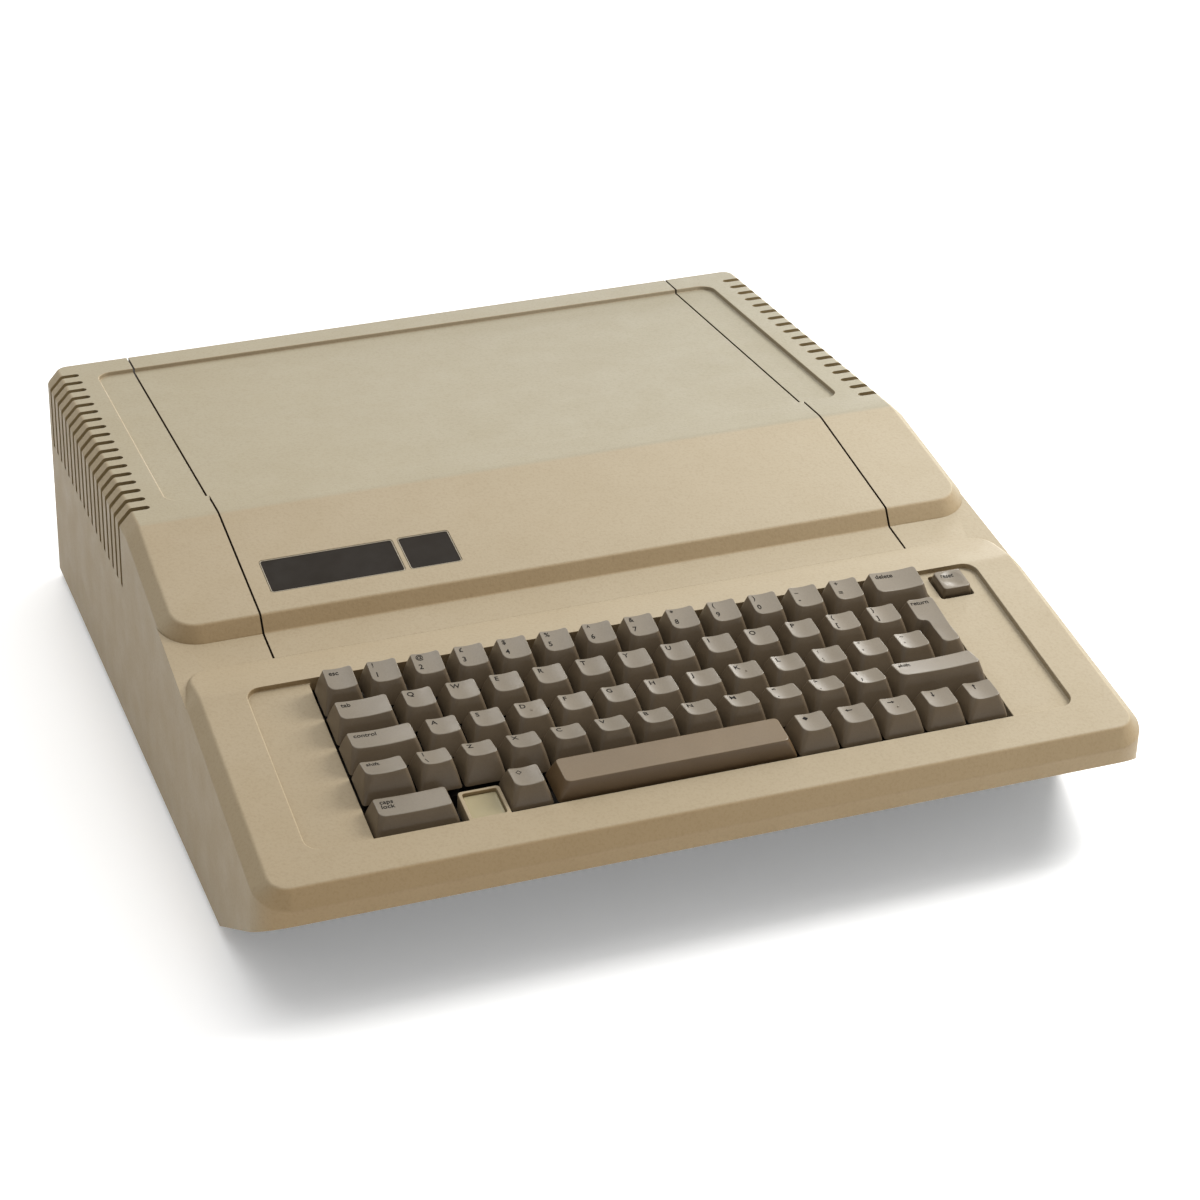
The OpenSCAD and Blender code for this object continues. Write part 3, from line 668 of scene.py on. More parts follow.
def case_plastic(name, color, yellowing_and_painted_light=1.0):
    """Spark-eroded ABS, yellowed unevenly, with a pebbled grain and a few dark specks. Its tints by height and facing
    are partly painted light: a paler flat top, darker and browner fronts and sides, and paler rims that lean to the
    right.
    """
    m = Mat(name)
    base = linear(color)
    warm = (base[0] * 0.985, base[1] * 0.975, base[2] * 0.955, 1)
    pale = (base[0] * 1.01, base[1] * 1.012, base[2] * 1.025, 1)
    x, y, z = m.xyz()
    sep = m.n("ShaderNodeSeparateXYZ")
    m.link(m.tc.outputs["Normal"], sep.inputs[0])
    ny, nz = sep.outputs[1], sep.outputs[2]
    col = m.ramp(m.noise(5.5, 4.0, 0.55), [(0.32, warm), (0.5, base), (0.70, pale)])
    if yellowing_and_painted_light:
        # fitted tints by height and direction, partly yellowing and partly painted light: paler flat top, browner
        # fronts and sides
        # painted sheen, partly: the flat top is made paler and cooler, standing in partly for the sheen it catches and
        # partly for less yellowing
        high = m.math("MULTIPLY", m.span(z, 0.1085, 0.1105), m.span(nz, 0.980, 0.996))
        col = m.mix(m.math("MULTIPLY", high, yellowing_and_painted_light), col, (0.965, 1.035, 1.095, 1), "MULTIPLY")
        # painted shade: the flat top darkens towards the right, holding back the light that falls there from the right
        col = m.mix(m.math("MULTIPLY", high, m.span(x, -0.10, 0.15)), col, (0.87, 0.865, 0.855, 1), "MULTIPLY")
        # painted light, partly: warmer towards the left and paler and cooler towards the right, following the light
        # from the right
        col = m.mix(m.span(x, -0.19, 0.19), m.mix(yellowing_and_painted_light, col, (1.0, 0.975, 0.94, 1), "MULTIPLY"), m.mix(yellowing_and_painted_light, col, (1.0, 1.025, 1.06, 1), "MULTIPLY"))
        # painted shade, partly: sides and fronts are made darker and browner, standing in partly for yellowing and
        # partly for the shade they lie in
        side = m.span(nz, 0.88, 0.45)
        col = m.mix(m.math("MULTIPLY", side, yellowing_and_painted_light), col, (1.0, 0.985, 0.965, 1), "MULTIPLY")
        face = m.math("MULTIPLY", m.span(ny, -0.35, -0.80), m.span(z, 0.106, 0.100))
        col = m.mix(m.math("MULTIPLY", face, yellowing_and_painted_light), col, (1.0, 0.91, 0.78, 1), "MULTIPLY")
        # painted highlight: rims that lean to the right are made paler, standing in for the light they catch
        painted_rim_highlight = m.math("MULTIPLY", m.span(sep.outputs[0], 0.20, 0.34), m.span(nz, 0.78, 0.86))
        col = m.mix(m.math("MULTIPLY", painted_rim_highlight, yellowing_and_painted_light), col, (1.22, 1.22, 1.20, 1), "MULTIPLY")
        low = m.math("MULTIPLY", m.span(z, 0.094, 0.06), 0.8 * yellowing_and_painted_light)
        col = m.mix(low, col, (0.99, 0.97, 0.93, 1), "MULTIPLY")
    handled = m.ramp(m.noise(34.0, 5.0, 0.62), [(0.34, (0.955, 0.945, 0.925, 1)), (0.60, (1, 1, 1, 1))])
    col = m.mix(0.6, col, handled, "MULTIPLY")
    pores = m.ramp(m.noise(800.0, 2.0, 0.6), [(0.34, (0.89, 0.87, 0.84, 1)), (0.52, (1.01, 1.01, 1.01, 1))])
    col = m.mix(0.6, col, pores, "MULTIPLY")
    specks = m.n("ShaderNodeTexVoronoi")
    specks.inputs["Scale"].default_value = 42.0
    m.link(m.coords(), specks.inputs["Vector"])
    dot = m.span(specks.outputs["Distance"], 0.020, 0.008)
    few = m.span(m.noise(31.0, 0.0), 0.60, 0.66)
    col = m.mix(m.math("MULTIPLY", m.math("MULTIPLY", dot, few), 0.7), col, linear((72, 60, 46)))
    r = m.span(m.noise(52.0, 4.0), 0.3, 0.7, 0.52, 0.66)
    grain = m.noise(1500.0, 2.0, 0.5)
    pebble = m.noise(640.0, 1.0, 0.4)
    wave = m.noise(26.0, 2.0, 0.4)
    nrm = m.bump(wave, 0.00008)
    nrm = m.bump(pebble, 0.000060, after=nrm)
    nrm = m.bump(grain, 0.000022, after=nrm)
    return m.finish(col, r, nrm, specular=0.24)


def key_plastic(name, color, shine=0.46):
    """Finely textured key caps, polished a little by fingers."""
    m = Mat(name)
    c = linear(color)
    col = m.ramp(m.noise(30.0, 3.0, 0.55), [(0.3, scaled(c, 0.93)), (0.7, scaled(c, 1.06))])
    fine = m.ramp(m.noise(1300.0, 2.0, 0.6), [(0.34, (0.90, 0.90, 0.90, 1)), (0.55, (1, 1, 1, 1))])
    col = m.mix(0.7, col, fine, "MULTIPLY")
    # painted shade: darker, browner sides, a tint standing in for the shade between the keys
    sep = m.n("ShaderNodeSeparateXYZ")
    m.link(m.tc.outputs["Normal"], sep.inputs[0])
    col = m.mix(m.span(sep.outputs[2], 0.80, 0.45), col, (0.79, 0.71, 0.62, 1), "MULTIPLY")
    r = m.span(m.noise(90.0, 4.0), 0.3, 0.7, shine - 0.05, shine + 0.06)
    nrm = m.bump(m.noise(1700.0, 2.0, 0.5), 0.000012)
    return m.finish(col, r, nrm, specular=0.5)


CASE = (163, 150, 126)
mat_case = case_plastic("case_shell_plastic", CASE)
# darker plastic: on the case's inside faces partly painted shade; the rear panel, port covers and lid latches take it
# as their own colour
mat_inner = case_plastic("case_inner_plastic", (140, 127, 104), 0.0)
# painted shade: darker plastic on the walls of the vent slots
mat_gap = case_plastic("case_slot_plastic", (132, 114, 80), 0.0)
# painted shade: dark plastic on the faces of the gap around the lid
mat_seam = case_plastic("case_seam_plastic", (70, 56, 38), 0.0)
mat_key = key_plastic("key_cap_plastic", (117, 107, 91), 0.36)
mat_space = key_plastic("space_bar_plastic", (111, 93, 67), 0.42)
mat_ink = simple("legend_ink", (14, 11, 9), rough=0.75, tint=0.2, scale=200, grain=0.4, depth=0.000005, specular=0.12)
mat_badge = simple("badge_face", (33, 27, 20), rough=0.62, tint=0.06, scale=30, grain=0.7, depth=0.000006, specular=0.12)
mat_badge_rim = simple("badge_rim", (150, 140, 120), rough=0.45, tint=0.05, scale=40, grain=0.5, depth=0.000006)
mat_lens = simple("lamp_lens_plastic", (150, 138, 102), rough=0.42, tint=0.04, scale=60, grain=0.5, depth=0.00001)
mat_steel = simple("bright_steel", (178, 178, 176), rough=0.32, metallic=1.0, tint=0.1, scale=60, grain=0.25, depth=0.000006, stretch=(1, 12, 1))
mat_plate = simple("keyboard_steel", (50, 45, 39), rough=0.6, metallic=0.5, tint=0.15, scale=40, grain=0.6, depth=0.00001)
mat_rubber = simple("foot_rubber", (40, 38, 36), rough=0.85, tint=0.15, scale=60, grain=0.9, depth=0.00006, specular=0.25)
mat_black = simple("black_moulding", (34, 33, 33), rough=0.42, tint=0.12, scale=60, grain=0.7, depth=0.00002)
mat_rocker = simple("rocker_plastic", (26, 26, 27), rough=0.28, tint=0.08, scale=60, grain=0.5, depth=0.000008, coat=0.2)
mat_switch = simple("switch_housing_plastic", (36, 30, 26), rough=0.6, tint=0.15, scale=60, grain=0.7, depth=0.00002)
mat_nylon = simple("nylon", (226, 222, 206), rough=0.45, tint=0.04, scale=60, grain=0.6, depth=0.00001)
mat_slot = simple("slot_green_plastic", (46, 92, 68), rough=0.4, tint=0.08, scale=60, grain=0.6, depth=0.00001)
mat_chip = simple("chip_epoxy", (36, 35, 36), rough=0.48, tint=0.1, scale=80, grain=0.45, depth=0.000014)
mat_lead = simple("grey_lead_jacket", (196, 192, 180), rough=0.5, tint=0.05, scale=60, grain=0.6, depth=0.00001)
mat_red = simple("red_lead_jacket", (160, 34, 28), rough=0.45, tint=0.06, scale=60, grain=0.6, depth=0.00001)
mat_ribbon = simple("ribbon_cable", (150, 152, 156), rough=0.5, tint=0.05, scale=60, grain=0.6, depth=0.00001)
mat_brass = simple("brass_pins", (200, 176, 110), rough=0.28, metallic=1.0, tint=0.08, scale=60, grain=0.4, depth=0.000005)
mat_tin = simple("tinned_legs", (196, 196, 192), rough=0.36, metallic=1.0, tint=0.08, scale=80, grain=0.3, depth=0.000006)
mat_orange = simple("component_dip", (186, 112, 44), rough=0.36, tint=0.1, scale=120, grain=0.6, depth=0.00002, coat=0.2)
mat_paper = simple("speaker_paper", (38, 37, 36), rough=0.9, tint=0.2, scale=140, grain=0.6, depth=0.00006, specular=0.2)


def zinc():
    """Galvanised sheet with a faint spangle and a few scratches."""
    m = Mat("zinc_sheet")
    v = m.n("ShaderNodeTexVoronoi")
    v.inputs["Scale"].default_value = 95.0
    m.link(m.coords(), v.inputs["Vector"])
    h = m.n("ShaderNodeSeparateColor")
    m.link(v.outputs["Color"], h.inputs[0])
    c = linear((150, 152, 152))
    col = m.ramp(h.outputs[0], [(0.0, scaled(c, 0.86)), (1.0, scaled(c, 1.14))])
    scr = m.ramp(m.noise(60.0, 3.0, 0.6, (1, 30, 1)), [(0.40, (0.88, 0.88, 0.88, 1)), (0.5, (1, 1, 1, 1))])
    col = m.mix(0.6, col, scr, "MULTIPLY")
    r = m.span(h.outputs[1], 0.0, 1.0, 0.32, 0.50)
    return m.finish(col, r, m.bump(m.noise(700.0, 2.0), 0.00001), metallic=1.0)


def circuit():
    """Solder mask over a maze of tracks, with tinned pads."""
    m = Mat("circuit_board")
    x, y, z = m.xyz()
    dark, light = linear((20, 58, 38)), linear((44, 104, 66))

    def tracks(along, other, pitch, seed):
        row = m.math("MULTIPLY", other, 1.0 / pitch)
        edge = m.math("ABSOLUTE", m.math("SUBTRACT", m.math("FRACT", row), 0.5))
        line = m.span(edge, 0.20, 0.26, 1.0, 0.0)
        cell = m.n("ShaderNodeCombineXYZ")
        m.link(m.math("FLOOR", row), cell.inputs[0])
        m.link(m.math("FLOOR", m.math("MULTIPLY", along, 1.0 / 0.021)), cell.inputs[1])
        cell.inputs[2].default_value = seed
        w = m.n("ShaderNodeTexWhiteNoise")
        m.link(cell.outputs[0], w.inputs["Vector"])
        return m.math("MULTIPLY", line, m.span(w.outputs["Value"], 0.44, 0.46))

    a = tracks(x, y, 0.00127, 3.0)
    b = tracks(y, x, 0.00127, 7.0)
    zone = m.span(m.noise(28.0, 1.0), 0.48, 0.52)
    t = m.math("ADD", m.math("MULTIPLY", a, zone), m.math("MULTIPLY", b, m.math("SUBTRACT", 1.0, zone)), True)
    col = m.mix(t, dark, light)
    px = m.math("SUBTRACT", m.math("FRACT", m.math("MULTIPLY", x, 1 / 0.00508)), 0.5)
    py = m.math("SUBTRACT", m.math("FRACT", m.math("MULTIPLY", y, 1 / 0.00508)), 0.5)
    d = m.math("SQRT", m.math("ADD", m.math("MULTIPLY", px, px), m.math("MULTIPLY", py, py)))
    cell = m.n("ShaderNodeCombineXYZ")
    m.link(m.math("FLOOR", m.math("MULTIPLY", x, 1 / 0.00508)), cell.inputs[0])
    m.link(m.math("FLOOR", m.math("MULTIPLY", y, 1 / 0.00508)), cell.inputs[1])
    w = m.n("ShaderNodeTexWhiteNoise")
    m.link(cell.outputs[0], w.inputs["Vector"])
    pad = m.math("MULTIPLY", m.span(d, 0.15, 0.17, 1.0, 0.0), m.span(w.outputs["Value"], 0.60, 0.62))
    col = m.mix(pad, col, linear((178, 178, 166)))
    r = m.span(m.noise(40.0, 3.0), 0.3, 0.7, 0.30, 0.42)
    return m.finish(col, r, m.bump(m.math("ADD", t, pad), 0.00003))


mat_zinc = zinc()
mat_board = circuit()


def case_materials():
    return [mat_case, mat_inner, mat_gap, mat_seam]




# ------------------------------------------------------------------ case, with the rims of its openings rounded
def outer_z(x, y):
    """Height of the outer surface beside the lid."""
    if y < 166.4:
        return shelf_top(y) if y < 162.4 else 89.4 + (y - 162.4) * 1.95
    if 262 < y < 433.5 and abs(x) < 166.7:
        return CASE_H - TOP_REC
    return upper_top(y)


def outward(n, x):
    return n.x * (1 if x > 0 else -1) + n.z > 0.45


def rims(c, e, a):
    if a < 0:
        return False
    na, nb = e.link_faces[0].normal, e.link_faces[1].normal
    # the gap around the lid
    if abs(abs(c.x) - (LID_W / 2 + LID_GAP)) < 0.08 and c.y > 144.9 and c.z > outer_z(c.x, c.y) - 0.6:
        return abs(na.x) < 0.3 or abs(nb.x) < 0.3
    # vents
    if abs(c.x) > 175 and 257 < c.y < 437.5 and c.z > 78:
        side = [n for n in (na, nb) if outward(n, c.x) and abs(n.y) < 0.25]
        wall = [n for n in (na, nb) if abs(n.y) > 0.3 or (n.x * (1 if c.x > 0 else -1) > 0.9 and c.z > 108) or n.z > 0.9 and c.z < 80]
        return len(side) >= 1 and len(wall) >= 1
    return False


body_case = build_case()
bevel(body_case, rims, 0.26, 2, 20)
tidy(body_case, 0.05, 0.0005)
place(body_case, "case_upper", "chassis", "upper_case", slot="case_plastic", material=mat_case)


# ------------------------------------------------------------------ lid
def build_lid():
    y0 = 145.05
    top = [(y0, 60), (y0, shelf_top(y0)), (162.4, 89.4), (166.4, 97.2), (CREASE_Y - 2.5, upper_top(CREASE_Y - 2.5)), (CREASE_Y - 1.2, upper_top(CREASE_Y - 1.2)), (CREASE_Y, upper_top(CREASE_Y)), (CREASE_Y + 1.2, upper_top(CREASE_Y + 1.2)), (CREASE_Y + 2.5, CASE_H), (REAR_Y, CASE_H), (REAR_Y, 60)]
    path = fillet([(0, p[0], p[1]) for p in top], [0, 0, 0.9, 1.05, 0, 0, 0, 0, 0, 1.05], 5)
    body = prism([(p.y, p.z) for p in path], "x", -LID_W / 2, LID_W / 2)
    inner = [(130, 50), (130, 83.1), (145, 83.1), (163.6, 86.5), (168.6, 94.7), (CREASE_Y + 0.3, CASE_H - WALL), (258.5, CASE_H - WALL), (258.5, CASE_H - TOP_REC - WALL), (436.5, CASE_H - TOP_REC - WALL), (436.5, CASE_H - WALL), (REAR_Y - WALL, CASE_H - WALL), (REAR_Y - WALL, 104), (REAR_Y + 2, 104), (REAR_Y + 2, 50)]
    body = cut(painted(body, 0), painted(prism(inner, "x", -200, 200), 1))
    body = cut(body, painted(top_recess_cutter(), 0))
    for x0, x1 in ((-139.2, -77.6), (-75.6, -51.4)):
        ring = prism(rounded(x0, x1, -64, -40, 1.6, 6), "z", -0.9, 5, put=on_slope)
        body = cut(body, painted(ring, 0))
    # painted shade: the lid's side faces take the dark seam plastic
    for p in body.data.polygons:
        if abs(p.normal.x) > 0.99 and abs(abs(p.center.x) - LID_W / 2) < 0.05:
            p.material_index = 3
    # stiffening ribs inside, clear of the ledge below
    for x in (-96, -32, 32, 96):
        body = add(body, painted(prism([(172, 94.4), (CREASE_Y, 108.6), (256, 108.6), (260, 106.4), (420, 106.4), (420, 109.2), (258.8, 109.2), (258.2, 111.6), (CREASE_Y, 111.6), (172, 96.4)], "x", x - 1, x + 1), 1))
    return tidy(body)


def lid_rims(c, e, a):
    if a < 0:
        return False
    na, nb = e.link_faces[0].normal, e.link_faces[1].normal
    if abs(abs(c.x) - LID_W / 2) < 0.05:
        return c.z > outer_z(c.x, c.y) - 1.2 or c.y > REAR_Y - 1
    up = Vector((0, -math.sin(TOP_SLOPE), math.cos(TOP_SLOPE)))
    return 170 < c.y < 208 and max(na.dot(up), nb.dot(up)) > 0.99 and min(abs(na.dot(up)), abs(nb.dot(up))) < 0.1 and c.z > upper_top(c.y) - 0.3


lid = build_lid()
bevel(lid, lid_rims, 0.2, 2, 20)
tidy(lid, 0.05, 0.0005)
place(lid, "lid_shell", "lid", "lid", slot="case_plastic", material=mat_case)


def badge(x0, x1, name, node):
    """A thin plate with a pale bevelled edge around a dark sunken face, left bare."""
    outer = lambda d, r: rounded(x0 + 0.22 + d, x1 - 0.22 - d, -63.78 + d, -40.22 - d, r, 6)
    rings = [(outer(0.5, 1.0), -0.88), (outer(0, 1.4), -0.88), (outer(0, 1.4), -0.22), (outer(0.12, 1.3), -0.10), (outer(0.34, 1.15), -0.10), (outer(0.44, 1.1), -0.16), (outer(0.48, 1.1), -0.27), (outer(0.60, 1.0), -0.30)]
    verts, faces = [], []
    n = len(rings[0][0])
    for pts, w in rings:
        verts += [on_slope(p[0], p[1], w) for p in pts]
    for j in range(len(rings) - 1):
        for k in range(n):
            faces.append((j * n + k, j * n + (k + 1) % n, (j + 1) * n + (k + 1) % n, (j + 1) * n + k))
    faces.append(tuple(reversed(range(n))))
    faces.append(tuple(range((len(rings) - 1) * n, len(rings) * n)))
    ob = mesh_object(name, verts, faces)
    ob.data.materials.append(mat_badge_rim)
    ob.data.materials.append(mat_badge)
    place(ob, name, "lid", node, slot="badge_enamel", material=mat_badge_rim, sharp=40)
    last = max(ob.data.polygons, key=lambda p: p.area * (1 if p.normal.z > 0 else 0))
    last.material_index = 1
    inner = set(last.vertices)
    for p in ob.data.polygons:
        if p is not last and len(inner & set(p.vertices)) >= 2:
            p.material_index = 1
    return ob


badge(-139.2, -77.6, "badge_large", "badge_plate_large")
badge(-75.6, -51.4, "badge_small", "badge_plate_small")


# ------------------------------------------------------------------ keys
def round_poly(corners, radii, nc, div):
    """Outline of a polygon with its corners rounded, with div[i] steps on the edge after corner i."""
    n = len(corners)
    P = [Vector(c) for c in corners]
    arcs = []
    for i in range(n):
        a, c, b = P[i - 1], P[i], P[(i + 1) % n]
        r = min(radii[i], (a - c).length * 0.48, (b - c).length * 0.48)
        s, e = c + (a - c).normalized() * r, c + (b - c).normalized() * r
        k = 0.5523
        arc = []
        for j in range(nc + 1):
            t = j / nc
            s2, e2 = s + (c - s) * k, e + (c - e) * k
            arc.append(s * (1 - t) ** 3 + s2 * 3 * t * (1 - t) ** 2 + e2 * 3 * t * t * (1 - t) + e * t ** 3)
        arcs.append(arc)
    out = []
    for i in range(n):
        out += arcs[i]
        a, b = arcs[i][-1], arcs[(i + 1) % n][0]
        for j in range(1, div[i]):
            out.append(a + (b - a) * (j / div[i]))
    return out


def inset(corners, d):
    """The polygon with each edge moved inwards by d, or by d[i] for the edge after corner i."""
    n = len(corners)
    d = d if isinstance(d, (list, tuple)) else [d] * n
    lines = []
    for i in range(n):
        a, b = Vector(corners[i]), Vector(corners[(i + 1) % n])
        t = (b - a).normalized()
        nrm = Vector((-t.y, t.x))
        lines.append((a + nrm * d[i], t))
    out = []
    for i in range(n):
        p, t = lines[i - 1]
        q, u = lines[i]
        det = t.x * (-u.y) - (-u.x) * t.y
        s = ((q.x - p.x) * (-u.y) - (-u.x) * (q.y - p.y)) / det
        out.append((p.x + t.x * s, p.y + t.y * s))
    return out


def cap_mesh(base, top, surf, low, div, rb=1.3, rt=2.0, roof=3.2, bulge=0.34, edge=0.42, tops=(0.7, 1.9, 3.4, 4.8), inner_r=1.0, shift=0.0):
    """One key cap, hollow below. base and top are the corner lists, surf(x, v) is the top surface, low the lower edge."""
    nc = 6
    n = len(base)
    rb = rb if isinstance(rb, list) else [rb] * n
    rt = rt if isinstance(rt, list) else [rt] * n
    B = round_poly(base, rb, nc, div)
    T = round_poly(top, rt, nc, div)
    I = round_poly(inset(base, 1.25), [inner_r] * n, nc, div)
    C = round_poly(inset(base, 2.6), [inner_r] * n, nc, div)
    rings = [round_poly(inset(top, k), [max(0.5, r - k * 0.62) for r in rt], nc, div) for k in tops]
    lines = []
    for i in range(len(B)):
        b, t = B[i], T[i]
        out = (b - t)
        out = out.normalized() * bulge if out.length > 1e-6 else Vector((0, 0))
        mid = (b + t) * 0.5 + out
        wt = surf(t.x, t.y)
        low_pts = [Vector((C[i].x, C[i].y, roof)), Vector((I[i].x, I[i].y, low)), Vector((b.x, b.y, low)), Vector((mid.x, mid.y, low + (wt - low) * 0.52)), Vector((t.x, t.y, wt)), Vector((rings[0][i].x, rings[0][i].y, surf(rings[0][i].x, rings[0][i].y)))]
        line = fillet(low_pts, [0, 0, 0.28, 3.6, edge], 6)
        for r in rings[1:]:
            line.append(Vector((r[i].x, r[i].y, surf(r[i].x, r[i].y))))
        lines.append(line)
    m, w = len(lines[0]), len(lines)
    verts = [deck(lines[i][j].x, lines[i][j].y, lines[i][j].z + shift) for j in range(m) for i in range(w)]
    faces = [(j * w + k, j * w + (k + 1) % w, (j + 1) * w + (k + 1) % w, (j + 1) * w + k) for j in range(m - 1) for k in range(w)]
    faces.append(tuple(reversed(range(w))))
    faces.append(tuple(range((m - 1) * w, m * w)))
    ob = mesh_object("tmp", verts, faces)
    bm = bmesh.new()
    bm.from_mesh(ob.data)
    bmesh.ops.triangulate(bm, faces=[f for f in bm.faces if len(f.verts) > 4], ngon_method="BEAUTY")
    bm.to_mesh(ob.data)
    bm.free()
    return ob


def stem_mesh(x, v, top, low=-9.4, shift=0.0):
    s = rod((x, v, low), 2.55, top - low, n=20, put=lambda a, b, c: deck(a, b, c + shift))
    return s


def key_shape(u, n, r, dip=0.8, shift=0.0):
    t, v0 = ROW_TOP[r], ROW_V[r]
    x0 = KX + u * PITCH + 0.425
    x1 = x0 + (n - 1) * PITCH + 18.2
    side = 2.95
    xm, hw = (x0 + x1) / 2, (x1 - x0) / 2 - side
    base = [(x0, v0 - 9.1), (x1, v0 - 9.1), (x1, v0 + 9.1), (x0, v0 + 9.1)]
    top = [(x0 + side, v0 + t[0]), (x1 - side, v0 + t[0]), (x1 - side, v0 + t[2]), (x0 + side, v0 + t[2])]

    def surf(x, v):
        k = min(1.2, abs(x - xm) / hw)
        return t[1] + (t[3] - t[1]) * (v - v0 - t[0]) / (t[2] - t[0]) - dip * (1 - k * k)

    return base, top, surf, (x0, x1, v0, side, xm)


def make_cap(u, n, r, dip=0.8, shift=0.0):
    base, top, surf, (x0, x1, v0, side, xm) = key_shape(u, n, r, dip)
    nx = 8 if n < 1.6 else 14
    cap = cap_mesh(base, top, surf, -1.8, [nx, 5, nx, 5], rt=[3.1, 1.9, 1.4, 1.3], shift=shift)
    stem = stem_mesh(xm, v0, 3.6, shift=shift)
    return [cap, stem]


def dot(x, v, surf, shift=0.0):
    """Small round pip that a finger can feel."""
    rings = [(0.50, -0.5), (0.50, -0.05), (0.46, 0.12), (0.34, 0.26), (0.16, 0.33)]
    verts = [deck(x + r * math.cos(2 * math.pi * k / 16), v + r * math.sin(2 * math.pi * k / 16), surf(x, v) + w + shift) for r, w in rings for k in range(16)]
    faces = [(j * 16 + k, j * 16 + (k + 1) % 16, (j + 1) * 16 + (k + 1) % 16, (j + 1) * 16 + k) for j in range(4) for k in range(16)]
    faces += [tuple(reversed(range(16))), tuple(range(64, 80))]
    return mesh_object("tmp", verts, faces)


def glyph(text, size, x, v, surf, shift=0.0, wide=0.97, slant=0.04, align="LEFT"):
    """Lettering laid on a key's top. x and v are its left end and baseline."""
    cu = bpy.data.curves.new("glyph", "FONT")
    cu.body = text
    cu.size = 1.0
    cu.extrude = 0.03
    cu.offset = 0.012
    cu.resolution_u = 3
    cu.align_x = align
    ob = bpy.data.objects.new("glyph", cu)
    scene.collection.objects.link(ob)
    bpy.context.view_layer.update()
    me = bpy.data.meshes.new_from_object(ob.evaluated_get(bpy.context.evaluated_depsgraph_get()))
    bpy.data.objects.remove(ob)
    bpy.data.curves.remove(cu)
    return settle(me, size / 0.72, x, v, surf, shift, wide, slant)


def settle(me, k, x, v, surf, shift, wide=1.0, slant=0.0):
    bm = bmesh.new()
    bm.from_mesh(me)
    bpy.data.meshes.remove(me)
    bmesh.ops.remove_doubles(bm, verts=bm.verts, dist=0.0004)
    for q in bm.verts:
        gx, gy = x + (q.co.x + q.co.y * slant) * k * wide, v + q.co.y * k
        top = q.co.z > 0
        q.co = deck(gx, gy, surf(gx, gy) + (0.075 if top else -0.16) + shift)
    me = bpy.data.meshes.new("tmp")
    bmesh.ops.recalc_face_normals(bm, faces=bm.faces)
    bm.to_mesh(me)
    bm.free()
    ob = bpy.data.objects.new("tmp", me)
    scene.collection.objects.link(ob)
    return ob


def outline_glyph(polys, k, x, v, surf, shift=0.0):
    """Closed shapes given as lists of points, one unit high."""
    bm = bmesh.new()
    for poly in polys:
        lo = [bm.verts.new((p[0], p[1], -0.03)) for p in poly]
        hi = [bm.verts.new((p[0], p[1], 0.03)) for p in poly]
        bm.faces.new(list(reversed(lo)))
        bm.faces.new(hi)
        for i in range(len(poly)):
            j = (i + 1) % len(poly)
            bm.faces.new((lo[i], lo[j], hi[j], hi[i]))
    me = bpy.data.meshes.new("tmp")
    bm.to_mesh(me)
    bm.free()
    return settle(me, k, x, v, surf, shift)


def turned(poly, quarter):
    out = []
    for x, y in poly:
        for _ in range(quarter):
            x, y = -y, x
        out.append((x, y))
    return out


def finish_keys(name, caps, marks, material=None):
    body = join([o for c in caps for o in c])
    place(body, "caps_" + name, name, name, slot="key_plastic", material=material or mat_key, sharp=50, weighted=False)
    if marks:
        m = join(marks)
        place(m, "marks_" + name, name, material=mat_ink, sharp=30, weighted=False)
    return body


CAP = 2.8
rows = {"keys_number_row": (0, 1.0, 12), "keys_upper_row": (1, 1.5, 12), "keys_home_row": (2, 1.75, 12), "keys_lower_row": (3, 1.25, 11)}
texts = {
    "keys_number_row": ["1!", "2@", "3£", "4$", "5%", "6^", "7&", "8*", "9(", "0)", "-_", "=+"],
    "keys_upper_row": list("QWERTYUIOP") + ["[{", "]}"],
    "keys_home_row": list("ASDFGHJKL") + [";:", "'\"", "`~"],
    "keys_lower_row": ["\\|"] + list("ZXCVBNM") + [",<", ".>", "/?"],
}
for name, (r, u0, count) in rows.items():
    caps, marks = [], []
    for i in range(count):
        u = u0 + i
        caps.append(make_cap(u, 1, r))
        base, top, surf, (x0, x1, v0, side, xm) = key_shape(u, 1, r)
        t = ROW_TOP[r]
        left, rear = x0 + side + 1.75, v0 + t[2]
        text = texts[name][i]
        if len(text) == 1:
            marks.append(glyph(text, CAP, left, rear - 1.45 - CAP, surf))
        else:
            marks.append(glyph(text[1], CAP * 0.9, left, rear - 3.5, surf))
            marks.append(glyph(text[0], CAP, left, rear - 9.3, surf))
        if text in ("D", "K"):
            caps[-1].append(dot(xm, v0 + 1.2, surf))
    finish_keys(name, caps, marks)

words = {
    "key_escape": (0, 0, 1, ["esc"]), "key_delete": (0, 13, 1.5, ["delete"]), "key_tab": (1, 0, 1.5, ["tab"]), "key_control": (2, 0, 1.75, ["control"]),
    "key_shift_left": (3, 0, 1.25, ["shift"]), "key_shift_right": (3, 12.25, 2.25, ["shift"]), "key_caps_lock": (4, 0, 1.93, ["caps", "lock"]),
    "key_option_left": (4, 2.96, 1, None), "key_option_right": (4, 9.5, 1, None),
    "key_arrow_left": (4, 10.5, 1, 0), "key_arrow_right": (4, 11.5, 1, 2), "key_arrow_down": (4, 12.5, 1, 1), "key_arrow_up": (4, 13.5, 1, 3),
}
ARROW = [(-0.62, 0.0), (-0.18, 0.30), (-0.18, 0.09), (0.62, 0.09), (0.62, -0.09), (-0.18, -0.09), (-0.18, -0.30)]
